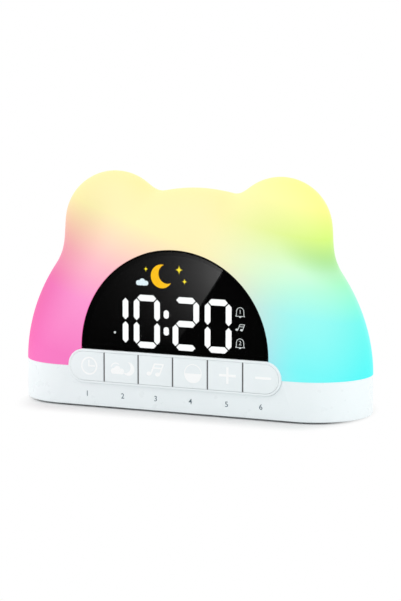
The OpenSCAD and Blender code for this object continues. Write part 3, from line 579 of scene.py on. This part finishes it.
def prism(name, outline, near, far, lying=False):
    """A solid with this outline of (x, z) points, from y = near to y = far. A lying one has (x, y)
    points and runs from z = near up to z = far."""
    count = len(outline)
    points = [(a, b, level) if lying else (a, level, b) for level in (near, far) for a, b in outline]
    faces = [tuple(range(count)), tuple(range(2 * count - 1, count - 1, -1))]
    for i in range(count):
        j = (i + 1) % count
        faces.append((j, i, count + i, count + j))
    obj = add_mesh(name, points, faces)
    outward(obj)
    return obj


def edit(obj, change):
    """Lets change work on the object's mesh."""
    shape = bmesh.new()
    shape.from_mesh(obj.data)
    change(shape)
    shape.to_mesh(obj.data)
    shape.free()


def outward(obj):
    """Turns every face outwards."""
    edit(obj, lambda shape: bmesh.ops.recalc_face_normals(shape, faces=shape.faces))


def remove(obj):
    """Takes an object and its mesh away."""
    mesh = obj.data
    bpy.data.objects.remove(obj)
    bpy.data.meshes.remove(mesh)


def settle(obj):
    """Applies the object's modifiers to its mesh."""
    graph = bpy.context.evaluated_depsgraph_get()
    made = bpy.data.meshes.new_from_object(obj.evaluated_get(graph))
    obj.modifiers.clear()
    obj.data = made


def combine(obj, others, operation):
    """Adds the other solids to obj, or cuts them out of it, and removes them."""
    for other in others:
        step = obj.modifiers.new(operation.lower(), "BOOLEAN")
        step.operation = operation
        step.solver = "EXACT"
        step.object = other
    settle(obj)
    for other in others:
        remove(other)
    return obj


def gather(name, parts):
    """One object from several that don't touch each other."""
    shape = bmesh.new()
    for part in parts:
        shape.from_mesh(part.data)
        remove(part)
    obj = add_mesh(name, [], [])
    shape.to_mesh(obj.data)
    shape.free()
    return obj


def copy_of(node, name):
    """A new object with the shape of a CAD node, its flat faces in one piece."""
    mesh = NODES[node].data
    obj = add_mesh(name, [v.co for v in mesh.vertices], [p.vertices for p in mesh.polygons])

    def clean(shape):
        bmesh.ops.remove_doubles(shape, verts=shape.verts, dist=SAME_PLACE)
        bmesh.ops.dissolve_limit(shape, angle_limit=math.radians(FLAT), verts=shape.verts,
                                 edges=shape.edges)

    edit(obj, clean)
    return obj


def soften(obj, width, chosen, steps=3):
    """Rounds the sharp edges whose middle (x, y, z) is chosen."""
    def round_off(shape):
        edges = [edge for edge in shape.edges if len(edge.link_faces) == 2
                 and edge.calc_face_angle() > math.radians(SHARP)
                 and chosen(*((edge.verts[0].co + edge.verts[1].co) / 2))]
        bmesh.ops.bevel(shape, geom=edges, offset=width, offset_type="OFFSET", segments=steps,
                        profile=0.5, affect="EDGES", clamp_overlap=True)

    edit(obj, round_off)


def smooth(obj, degrees=35):
    """Smooth shading, with edges kept sharp from this angle on."""
    obj.data.shade_smooth()
    obj.data.set_sharp_from_angle(angle=math.radians(degrees))


def arc(centre, radius, start, end, steps, flatten=1.0):
    """Points on an arc, in degrees."""
    turns = [math.radians(start + (end - start) * i / steps) for i in range(steps + 1)]
    return [(centre[0] + radius * math.cos(t), centre[1] + radius * flatten * math.sin(t)) for t in turns]


def disc(centre, radius, steps=48, flatten=1.0):
    """Outline of a disc or an upright ellipse."""
    return arc(centre, radius, 0, 360, steps, flatten)[:-1]


def pill(centre, length, height, steps=24):
    """Outline of a bar with round ends."""
    reach = (length - height) / 2
    right = arc((centre[0] + reach, centre[1]), height / 2, -90, 90, steps)
    return right + arc((centre[0] - reach, centre[1]), height / 2, 90, 270, steps)


def moved(outline, place, scale=1.0):
    """An outline in millimetres, put at a place in millimetres, in metres."""
    return [((place[0] + a * scale) * MM, (place[1] + b * scale) * MM) for a, b in outline]


def cross_outline(length, height, width):
    """Outline of a plus sign."""
    a, b, w = length / 2, height / 2, width / 2
    return [(-a, -w), (-w, -w), (-w, -b), (w, -b), (w, -w), (a, -w), (a, w), (w, w), (w, b), (-w, b),
            (-w, w), (-a, w)]


def crescent(radius, bite, bite_radius, steps=40):
    """Outline of a disc round the origin with a round bite out of it."""
    way = math.degrees(math.atan2(bite[1], bite[0]))
    off = math.hypot(*bite)
    reach = (radius ** 2 - bite_radius ** 2 + off ** 2) / (2 * off)
    out = math.degrees(math.acos(reach / radius))
    back = math.degrees(math.acos((off - reach) / bite_radius))
    rim = arc((0, 0), radius, way + out, way + 360 - out, steps)
    return rim + arc(bite, bite_radius, way + 180 + back, way + 180 - back, steps)[1:-1]


def puffs(discs, steps=96):
    """Outline round discs (x, z, radius) that cluster round the origin."""
    outline = []
    for i in range(steps):
        turn = 2 * math.pi * i / steps
        reach = 0
        for x, z, radius in discs:
            along = x * math.cos(turn) + z * math.sin(turn)
            square = radius ** 2 - (x ** 2 + z ** 2) + along ** 2
            if square > 0:
                reach = max(reach, along + math.sqrt(square))
        outline.append((reach * math.cos(turn), reach * math.sin(turn)))
    return outline


def sparkle(radius, steps=32):
    """Outline of a four-pointed star with hollow sides."""
    turns = [2 * math.pi * i / steps for i in range(steps)]
    return [(radius * math.copysign(math.cos(t) ** 4, math.cos(t)),
             radius * math.copysign(math.sin(t) ** 4, math.sin(t))) for t in turns]


def beside(line, distance, closed):
    """The line moved sideways by distance, with mitred corners."""
    count = len(line)
    result = []
    for i, here in enumerate(line):
        here = Vector(here)
        runs = []
        if closed or i > 0:
            runs.append(here - Vector(line[i - 1]))
        if closed or i < count - 1:
            runs.append(Vector(line[(i + 1) % count]) - here)
        sides = [Vector((-run.y, run.x)).normalized() for run in runs]
        side = sum(sides, Vector((0, 0))).normalized()
        result.append(tuple(here + side * distance / max(MITRE, side.dot(sides[0]))))
    return result


def drawn_line(name, line, width, near, far, closed=False):
    """A line of (x, z) points drawn with this width, as a solid from y = near to y = far."""
    left = beside(line, width / 2, closed)
    right = beside(line, -width / 2, closed)
    if not closed:
        return prism(name, left + right[::-1], near, far)
    count = len(line)
    rims = ((left, near), (right, near), (right, far), (left, far))
    points = [(x, y, z) for side, y in rims for x, z in side]
    faces = []
    for level in range(len(rims)):
        here = level * count
        there = (level + 1) % len(rims) * count
        for i in range(count):
            j = (i + 1) % count
            faces.append((here + i, here + j, there + j, there + i))
    obj = add_mesh(name, points, faces)
    outward(obj)
    return obj


def number(name, text, place, height, near, far, bold):
    """A plain number that faces the front, as a solid. height is that of its digits, and bold is how
    much its lines grow to each side."""
    curve = bpy.data.curves.new(name, "FONT")
    curve.body = text
    curve.align_x = "CENTER"
    curve.align_y = "CENTER"
    curve.size = height / DIGIT_SHARE
    curve.offset = bold
    curve.extrude = (far - near) / 2
    curve.resolution_u = 5
    holder = bpy.data.objects.new(name, curve)
    bpy.context.scene.collection.objects.link(holder)
    bpy.context.view_layer.update()
    graph = bpy.context.evaluated_depsgraph_get()
    mesh = bpy.data.meshes.new_from_object(holder.evaluated_get(graph))
    middle = (near + far) / 2
    points = [(v.co.x + place[0] * MM, middle - v.co.z, v.co.y + place[1] * MM) for v in mesh.vertices]
    obj = add_mesh(name, points, [p.vertices for p in mesh.polygons])
    bpy.data.objects.remove(holder)
    bpy.data.curves.remove(curve)
    bpy.data.meshes.remove(mesh)
    edit(obj, lambda shape: bmesh.ops.remove_doubles(shape, verts=shape.verts, dist=SAME_PLACE))
    outward(obj)
    return obj


def seat(piece, body, material, node=None):
    """Dresses a finished piece, lets it ride on a body, and hides the CAD node that it stands for."""
    dress(piece, material)
    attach(piece, body)
    if node:
        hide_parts(node)


def lens_outline(margin, low):
    """Outline of the half-round lens, widened by a margin."""
    radius = LENS_R + margin
    dip = math.degrees(math.asin((LENS_Z - low) / radius))
    return arc((0, LENS_Z), radius, -dip, 180 + dip, 96)


# ---------- dome ----------

def head_and_ears(x, y, z):
    """Distance-like value of the dome's outer form: below 0 inside, above 0 outside."""
    y = y - MIDDLE_Y
    z = z - SEAM_Z
    x = np.abs(x)
    tall = DOME_TOP / HALF_WIDTH
    ring = (x ** CROWN + (np.abs(z) / tall) ** CROWN) ** (1 / CROWN)
    head = np.hypot(np.maximum(ring - END_X, 0), y) - HALF_DEPTH
    ear_ring = np.hypot(x - EAR_X, z - EAR_UP)
    ear = np.hypot(np.maximum(ear_ring - (EAR_R - EAR_HALF_DEPTH), 0), y) - EAR_HALF_DEPTH
    # The ear runs into the head in a tight fold on its inner side and a wide one on its outer side
    side = np.clip((x - EAR_X + BLEND_RUN / 2) / BLEND_RUN, 0, 1)
    side = side * side * (3 - 2 * side)
    blend = BLEND_INSIDE + (BLEND_OUTSIDE - BLEND_INSIDE) * side
    share = np.clip(0.5 + 0.5 * (head - ear) / blend, 0, 1)
    return head * (1 - share) + ear * share - blend * share * (1 - share)


def dome_skin(inset):
    """Points where rays from the middle of the seam leave the form, drawn in by inset. The rings
    of rays crowd half way between front and back."""
    ring = np.linspace(0, 1, RINGS + 1)
    tilt = math.pi * ring + CROWDING / 2 * np.sin(2 * math.pi * ring)
    spoke = np.linspace(0, math.pi, SPOKES + 1)
    tilt, spoke = np.meshgrid(tilt, spoke, indexing="ij")
    way = np.stack([np.sin(tilt) * np.cos(spoke), -np.cos(tilt), np.sin(tilt) * np.sin(spoke)], -1)
    near = np.zeros(tilt.shape)
    far = np.full(tilt.shape, FARTHEST_SKIN)
    for _ in range(HALVINGS):
        middle = (near + far) / 2
        place = way * middle[..., None]
        inside = head_and_ears(place[..., 0], place[..., 1] + MIDDLE_Y, place[..., 2] + SEAM_Z) < -inset
        near = np.where(inside, middle, near)
        far = np.where(inside, far, middle)
    return way * near[..., None] + np.array([0, MIDDLE_Y, SEAM_Z])


def dome_shell():
    """The dome's wall as one closed mesh, whose hollow is open at the seam."""
    points = []
    grids = []
    for inset in (0, WALL):
        skin = dome_skin(inset)
        grid = np.zeros((RINGS + 1, SPOKES + 1), int)
        for i in range(RINGS + 1):
            for j in range(SPOKES + 1):
                if i in (0, RINGS) and j > 0:
                    grid[i, j] = grid[i, 0]
                else:
                    grid[i, j] = len(points)
                    points.append(skin[i, j])
        grids.append(grid)
    faces = []
    for grid, turned in zip(grids, (False, True)):
        for i in range(RINGS):
            for j in range(SPOKES):
                corners = [grid[i, j], grid[i + 1, j], grid[i + 1, j + 1], grid[i, j + 1]]
                corners = list(dict.fromkeys(corners))
                faces.append(corners[::-1] if turned else corners)
    outer, inner = grids
    rim = [(i, 0) for i in range(RINGS + 1)] + [(i, SPOKES) for i in range(RINGS - 1, 0, -1)]
    for here, there in zip(rim, rim[1:] + rim[:1]):
        faces.append([outer[here], inner[here], inner[there], outer[there]])
    return add_mesh("glowing_dome", points, faces)


def make_dome(material):
    """The glowing dome, with its openings for the lens and the key strip."""
    dome = dome_shell()
    outward(dome)
    near = FRONT_Y - CUTTER_OVER
    far = FRONT_Y + CUTTER_OVER
    lens_cut = prism("lens_cut", lens_outline(LENS_GAP, LENS_FLOOR - CUTTER_OVER), near, far)
    strip = pill((0, STRIP_Z), STRIP_LEN + 2 * STRIP_GAP, STRIP_H + 2 * STRIP_GAP)
    strip_cut = prism("strip_cut", strip, near, far)
    combine(dome, [lens_cut, strip_cut], "DIFFERENCE")
    smooth(dome, 40)
    seat(dome, "clock", material, "dome_diffuser")


# ---------- case ----------

def plan_reach(x, y):
    """Distance of a point from the long middle line of the base."""
    return math.hypot(max(abs(x) - END_X, 0), y - MIDDLE_Y)


def strip_reach(x, z):
    """Distance of a point from the long middle line of the key strip."""
    return math.hypot(max(abs(x) - (STRIP_LEN - STRIP_H) / 2, 0), z - STRIP_Z)


def make_base(material):
    """The base, with its lower edge and the edge at the seam rounded."""
    base = copy_of("base_shell", "white_base")
    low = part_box("base_shell")[0].z
    outside = HALF_DEPTH - OUTLINE_BAND
    soften(base, BASE_ROUND, lambda x, y, z: z < low + LEAST and plan_reach(x, y) > outside, 4)
    soften(base, SEAM_ROUND, lambda x, y, z: abs(z - SEAM_Z) < LEAST and plan_reach(x, y) > outside, 2)
    smooth(base)
    seat(base, "clock", material, "base_shell")


def make_cover(material):
    """The bottom cover, with its outer edge rounded."""
    cover = copy_of("bottom_cover", "base_cover")
    outside = HALF_DEPTH - COVER_BAND
    soften(cover, COVER_ROUND, lambda x, y, z: z < COVER_FLOOR + LEAST and plan_reach(x, y) > outside)
    smooth(cover)
    seat(cover, "clock", material, "bottom_cover")


def make_door(material):
    """The battery door, with its outer edges rounded and the middle left as it is."""
    door = copy_of("battery_door", "bay_door")
    middle = (DOOR_LOW + DOOR_HIGH) / 2
    keep_x, keep_y = DOOR_MIDDLE
    soften(door, DOOR_ROUND, lambda x, y, z: z < DOOR_LOW.z + LEAST
           and (abs(x - middle.x) > keep_x or abs(y - middle.y) > keep_y))
    smooth(door)
    seat(door, "door", material, "battery_door")


def make_feet(material):
    """The feet, with the edges that touch the table rounded."""
    feet = copy_of("rubber_feet", "soft_feet")
    soften(feet, FOOT_ROUND, lambda x, y, z: z < LEAST)
    smooth(feet)
    seat(feet, "clock", material, "rubber_feet")


def screw_places(node):
    """Middles (x, y) of the upright screws in a CAD node."""
    groups = []
    for vertex in NODES[node].data.vertices:
        place = vertex.co.xy.copy()
        for group in groups:
            if (place - group[0]).length < SCREWS_APART:
                group.append(place)
                break
        else:
            groups.append([place])
    return [(sum(p.x for p in group) / len(group), sum(p.y for p in group) / len(group)) for group in groups]


def make_screws(node, name, body, depth, material):
    """Screws with round heads and a cross recess of this depth in them, seen from below."""
    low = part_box(node)[0].z
    screws = copy_of(node, name)
    soften(screws, SCREW_ROUND, lambda x, y, z: z < low + LEAST)
    cuts = []
    for x, y in screw_places(node):
        outline = [(x + a * MM, y + b * MM) for a, b in cross_outline(*RECESS)]
        cuts.append(prism("recess", outline, low - CUTTER_OVER, low + depth, lying=True))
    combine(screws, cuts, "DIFFERENCE")
    smooth(screws)
    seat(screws, body, material, node)


# ---------- keys ----------

def make_rim(material):
    """The rim round the keys, with its outer front edge rounded."""
    rim = copy_of("key_bezel", "key_rim")
    outside = STRIP_H / 2 - OUTLINE_BAND
    soften(rim, RIM_ROUND, lambda x, y, z: y < RIM_LOW.y + LEAST and strip_reach(x, z) > outside, 4)
    smooth(rim)
    seat(rim, "clock", material, "key_bezel")


def make_key(key, material):
    """One key cap, with its front edge rounded."""
    cap = copy_of(key + "_key", key + "_cap")
    soften(cap, KEY_ROUND, lambda x, y, z: y < KEY_FRONT + LEAST)
    smooth(cap)
    seat(cap, key + "_button", material, key + "_key")


def make_slit_shade_bars(material):
    """Dark bars in the slits between the keys: painted shade that stands in for the shadow deep in the
    slits.
    """
    half = STRIP_H / 2 - RIM_W - SHADE_BAR_CLEAR
    low, high = STRIP_Z - half, STRIP_Z + half
    shade_bars = []
    for i in range(1, len(KEYS)):
        x = (i - len(KEYS) / 2) * KEY_PITCH
        left, right = x - SHADE_BAR_W / 2, x + SHADE_BAR_W / 2
        outline = [(left, low), (right, low), (right, high), (left, high)]
        shade_bars.append(prism("slit_shade_bar", outline, KEY_FRONT + SHADE_BAR_BACK, KEY_FRONT + SHADE_BAR_END))
    seat(gather("key_slit_shade_bars", shade_bars), "clock", material)


def key_print(name, outline):
    """A flat print on a key."""
    return prism(name, outline, SIGN_NEAR, SIGN_FAR)


def key_line(name, line, width, closed=False):
    """A drawn line on a key."""
    return drawn_line(name, line, width, SIGN_NEAR, SIGN_FAR, closed)


def note_sign(name, place, scale, width, near, far):
    """Two joined notes."""
    heads = [prism("head", moved(disc(centre, NOTE_HEAD_R, 32, 0.78), place, scale), near, far)
             for centre in NOTE_HEADS]
    strokes = [drawn_line("stroke", moved(line, place, scale), width, near, far) for line in NOTE_LINES]
    note = heads.pop()
    note.name = name
    return combine(note, heads + strokes, "UNION")


def clock_sign(place):
    """A dial with two hands."""
    ring = key_line("clock_sign", moved(disc((0, 0), DIAL_R), place), SIGN_LINE, closed=True)
    hands = key_line("hands", moved(HANDS, place), HAND_LINE)
    return gather("clock_sign", [ring, hands])


def light_sign(place):
    """A low sun behind a cloud, and a crescent."""
    x, z = place
    cloud = key_print("cloud", moved(puffs(SIGN_PUFFS), (x - 2.8, z - 1.1), 1.22))
    sun = key_line("sun", moved(arc(*SUN, 24), place), SUN_LINE)
    moon = key_print("moon", moved(crescent(*CRESCENT), (x + 3.0, z - 0.1)))
    return gather("light_sign", [cloud, sun, moon])


def music_sign(place):
    """Two joined notes, a little left of the place."""
    middle = (place[0] - 0.6, place[1])
    return note_sign("music_sign", middle, MUSIC_SCALE, SIGN_LINE, SIGN_NEAR, SIGN_FAR)


def display_sign(place):
    """A round display, half of it bright."""
    ring = key_line("display_sign", moved(disc((0, 0), DISPLAY_R), place), DISPLAY_LINE, closed=True)
    half = key_print("half", moved(arc((0, 0), DISPLAY_R - 0.05, 180, 360, 32), place))
    return combine(ring, [half], "UNION")


def plus_sign(place):
    """A plus sign."""
    return key_print("plus_sign", moved(cross_outline(*PLUS_SIZE), place))


def minus_sign(place):
    """A bar with round ends."""
    return key_print("minus_sign", moved(pill((0, 0), *MINUS_SIZE, 8), place))


def make_signs(material):
    """A sign on each key, which moves with it."""
    makers = [clock_sign, light_sign, music_sign, display_sign, plus_sign, minus_sign]
    signs = [maker(place) for maker, place in zip(makers, SIGN_PLACES)]
    for key, sign in zip(KEYS, signs):
        sign.name = key + "_sign"
        seat(sign, key + "_button", material)


def make_numbers(material):
    """A plain number on the base under each key."""
    numbers = [number("number", str(i + 1), place, NUMBER_HEIGHT, NUMBER_NEAR, NUMBER_FAR, NUMBER_BOLD)
               for i, place in enumerate(NUMBER_PLACES)]
    seat(gather("key_numbers", numbers), "clock", material)


# ---------- display ----------

def make_lens(material):
    """The half-round lens: a flat front and back, and a fine round on its front edge."""
    lens = prism("smoked_front", lens_outline(0, LENS_FLOOR), LENS_LOW.y, LENS_HIGH.y)
    soften(lens, LENS_ROUND, lambda x, y, z: y < LENS_LOW.y + LEAST, 2)
    smooth(lens)
    for face in lens.data.polygons:
        is_flat = abs(face.normal.y) > 0.999
        face.use_smooth = not is_flat
    seat(lens, "clock", material, "display_lens")


def bell(place, text):
    """Thin outline of a bell with its clapper, and a number in it."""
    near, far = MARKS_LOW.y, MARKS_HIGH.y
    line = [(2.2, -1.85), (1.88, -1.3)] + arc((0, 0.4), 1.85, 0, 180, 24) + [(-1.88, -1.3), (-2.2, -1.85)]
    body = drawn_line("bell", moved(line, place), MARK_LINE, near, far, closed=True)
    clapper = prism("clapper", moved(disc((0, -2.15), 0.5, 24, 0.7), place), near, far)
    body = combine(body, [clapper], "UNION")
    middle = (place[0], place[1] + 0.15)
    inside = number("in_bell", text, middle, BELL_NUMBER_HEIGHT, near, far, BELL_NUMBER_BOLD)
    return [body, inside]


def make_marks(material):
    """Two numbered bells, a sound mark and the afternoon's dot beside the numerals."""
    near, far = MARKS_LOW.y, MARKS_HIGH.y
    parts = []
    for z, text in BELLS:
        parts += bell((MARK_X, z), text)
    parts.append(note_sign("note", (MARK_X, NOTE_Z), 1.0, MARK_LINE, near, far))
    seat(gather("alarm_marks", parts), "clock", material, "status_icons")
    dot = prism("afternoon_dot", moved(disc((0, 0), DOT_R, 24), AFTERNOON_DOT), near, far)
    seat(dot, "clock", material)


def make_picture(materials):
    """A plain crescent with sparkles and a small cloud."""
    near, far = PICTURE_LOW.y, PICTURE_HIGH.y
    moon = prism("moon_picture", moved(crescent(1, *MOON_BITE), MOON, MOON_SIZE), near, far)
    seat(moon, "clock", materials["picture_print"], "night_picture")
    stars = [prism("sparkle", moved(sparkle(radius), (x, z)), near, far) for x, z, radius in SPARKLES]
    seat(gather("sparkle_picture", stars), "clock", materials["sparkle_print"])
    cloud = prism("cloud_picture", moved(puffs(PICTURE_PUFFS), CLOUD), near, far)
    seat(cloud, "clock", materials["cloud_print"])


# ---------- stage ----------

def make_camera():
    """Camera at the photograph's angle."""
    data = bpy.data.cameras.new("camera")
    data.sensor_width = SENSOR
    data.lens = FOCAL_PIXELS * SENSOR / IMAGE_LONG_SIDE
    data.shift_x, data.shift_y = SHIFT
    data.clip_start = NEAREST_SEEN
    data.clip_end = FARTHEST_SEEN
    camera = bpy.data.objects.new("camera", data)
    bpy.context.scene.collection.objects.link(camera)
    back = Vector((math.sin(YAW) * math.cos(ELEVATION), -math.cos(YAW) * math.cos(ELEVATION),
                   math.sin(ELEVATION)))
    camera.location = AIM + back * DISTANCE
    camera.rotation_euler = (-back).to_track_quat("-Z", "Y").to_euler()
    bpy.context.scene.camera = camera


def seen_rays(tree):
    """1 for camera, glossy and transmission rays, 0 for the rays that light things."""
    path = put(tree, "ShaderNodeLightPath").outputs
    glossy = calculate(tree, "MAXIMUM", path["Is Glossy Ray"], path["Is Transmission Ray"])
    return calculate(tree, "MAXIMUM", path["Is Camera Ray"], glossy)


def make_world():
    """White surroundings. Their light on the object is a little lower than what is seen of them."""
    world = bpy.data.worlds.new("surroundings")
    bpy.context.scene.world = world
    world.use_nodes = True
    tree = world.node_tree
    background = tree.nodes["Background"]
    background.inputs["Color"].default_value = (1, 1, 1, 1)
    strength = spread(tree, seen_rays(tree), 0, 1, AMBIENT, 1.0)
    tree.links.new(strength, background.inputs["Strength"])


def make_floor():
    """Floor that shows the clock's rendered soft shadow beside it on painted shadow, a grey that fades into
    plain white further off.
    """
    half = FLOOR_HALF
    corners = [(-half, -half, 0), (half, -half, 0), (half, half, 0), (-half, half, 0)]
    floor = add_mesh("floor", corners, [(0, 1, 2, 3)])
    material, tree, shader = new_material("floor")
    tree.nodes.remove(shader)
    place = parted(tree, own_place(tree))
    # Painted shadow: the floor is a darker grey near the clock and fades to plain white by SHADOW_GONE,
    # sooner beside its ends
    past_end = calculate(tree, "SUBTRACT", calculate(tree, "ABSOLUTE", place["X"]), END_X)
    past_end = calculate(tree, "MULTIPLY", calculate(tree, "MAXIMUM", past_end, 0.0), SHADOW_SQUEEZE)
    off = length(tree, X=past_end, Y=place["Y"])
    off = spread(tree, off, HALF_DEPTH, HALF_DEPTH + SHADOW_GONE, smooth=True)
    shaded = put(tree, "ShaderNodeBsdfDiffuse", {"Color": FLOOR_SEEN}).outputs[0]
    white = put(tree, "ShaderNodeEmission", {"Strength": 1.0}).outputs[0]
    seen = put(tree, "ShaderNodeMixShader", {0: off, 1: shaded, 2: white}).outputs[0]
    lighting = put(tree, "ShaderNodeBsdfDiffuse", {"Color": FLOOR_LIT}).outputs[0]
    both = put(tree, "ShaderNodeMixShader", {0: seen_rays(tree), 1: lighting, 2: seen}).outputs[0]
    tree.links.new(both, tree.nodes["Material Output"].inputs["Surface"])
    dress(floor, material)


def make_lamp(name, place, size, power):
    """A square soft box that points at the clock."""
    data = bpy.data.lights.new(name, "AREA")
    data.size = size
    data.energy = power
    lamp = bpy.data.objects.new(name, data)
    lamp.location = place
    lamp.rotation_euler = (AIM - Vector(place)).to_track_quat("-Z", "Y").to_euler()
    lamp.visible_camera = False
    lamp.visible_glossy = False
    bpy.context.scene.collection.objects.link(lamp)


def wedge(tree, x, z):
    """Brightness of the mirrored wedge. It grows upwards and to the right, up to a sharp slanting
    edge, and it ends a little inside the lens's edge."""
    growth = calculate(tree, "DIVIDE", calculate(tree, "SUBTRACT", x, GLARE_PEAK_X * MM), GLARE_FADE * MM)
    glare = calculate(tree, "EXPONENT", calculate(tree, "MINIMUM", growth, GLARE_MOST))
    run = (GLARE_TOP[0] - GLARE_LOW[0]) / (GLARE_TOP[1] - GLARE_LOW[1])
    edge_x = calculate(tree, "MULTIPLY", calculate(tree, "SUBTRACT", z, GLARE_LOW[1] * MM), run)
    side = calculate(tree, "SUBTRACT", calculate(tree, "ADD", edge_x, GLARE_LOW[0] * MM), x)
    from_middle = length(tree, X=x, Z=calculate(tree, "SUBTRACT", z, LENS_Z))
    full, none = LENS_R - GLARE_MARGIN[0], LENS_R - GLARE_MARGIN[1]
    for share in (spread(tree, z, GLARE_BASE * MM, GLARE_FULL * MM),
                  spread(tree, side, -GLARE_SHARP, GLARE_SHARP),
                  spread(tree, from_middle, full, none, 1.0, 0.0)):
        glare = calculate(tree, "MULTIPLY", glare, share)
    return glare


def make_card():
    """The card in front of the clock, seen in mirrored and refracted rays only. Its own x and z run
    as in the lens, and its size makes up for the distance."""
    eye = bpy.context.scene.camera.location
    mirrored_y = 2 * FRONT_Y - eye.y
    grow = (CARD_Y - mirrored_y) / (FRONT_Y - mirrored_y)
    reach = LENS_R + CARD_OVER
    low, high = LENS_FLOOR - CARD_BELOW, LENS_HIGH.z + CARD_OVER
    corners = [(-reach, 0, low), (reach, 0, low), (reach, 0, high), (-reach, 0, high)]
    card = add_mesh("mirrored_card", corners, [(0, 1, 2, 3)])
    card.location = (eye.x * (1 - grow), CARD_Y, eye.z * (1 - grow))
    card.scale = (grow, 1, grow)
    material, tree, shader = new_material("mirrored_card")
    tree.nodes.remove(shader)
    place = parted(tree, own_place(tree))
    glare = calculate(tree, "MULTIPLY", wedge(tree, place["X"], place["Z"]), GLARE_LEVEL)
    level = calculate(tree, "ADD", glare, CARD_LEVEL)
    shine = put(tree, "ShaderNodeEmission", {"Strength": level}).outputs[0]
    tree.links.new(shine, tree.nodes["Material Output"].inputs["Surface"])
    dress(card, material)
    card.visible_camera = False
    card.visible_diffuse = False
    card.visible_shadow = False


# ---------- the clock ----------

bpy.context.scene.view_settings.view_transform = "Standard"
make_camera()
make_world()
make_floor()
for lamp in LAMPS:
    make_lamp(*lamp)
make_card()
materials = make_materials()
for part in frame["record"]["subparts"]:
    dress(NODES[part["node"]], materials[part["material_slot"]])
make_dome(materials["dome"])
make_base(materials["white_case"])
make_cover(materials["white_case"])
make_door(materials["white_case"])
make_feet(materials["foot_rubber"])
make_screws("cover_screws", "case_screws", "clock", COVER_RECESS_DEPTH, materials["screw_steel"])
make_screws("battery_door_screws", "door_screws", "door", DOOR_RECESS_DEPTH, materials["screw_steel"])
make_rim(materials["white_keys"])
for key in KEYS:
    make_key(key, materials["white_keys"])
make_slit_shade_bars(materials["slit_shade_grey"])
make_signs(materials["print_white"])
make_numbers(materials["print_grey"])
make_lens(materials["smoked_lens"])
make_marks(materials["icon_print"])
make_picture(materials)
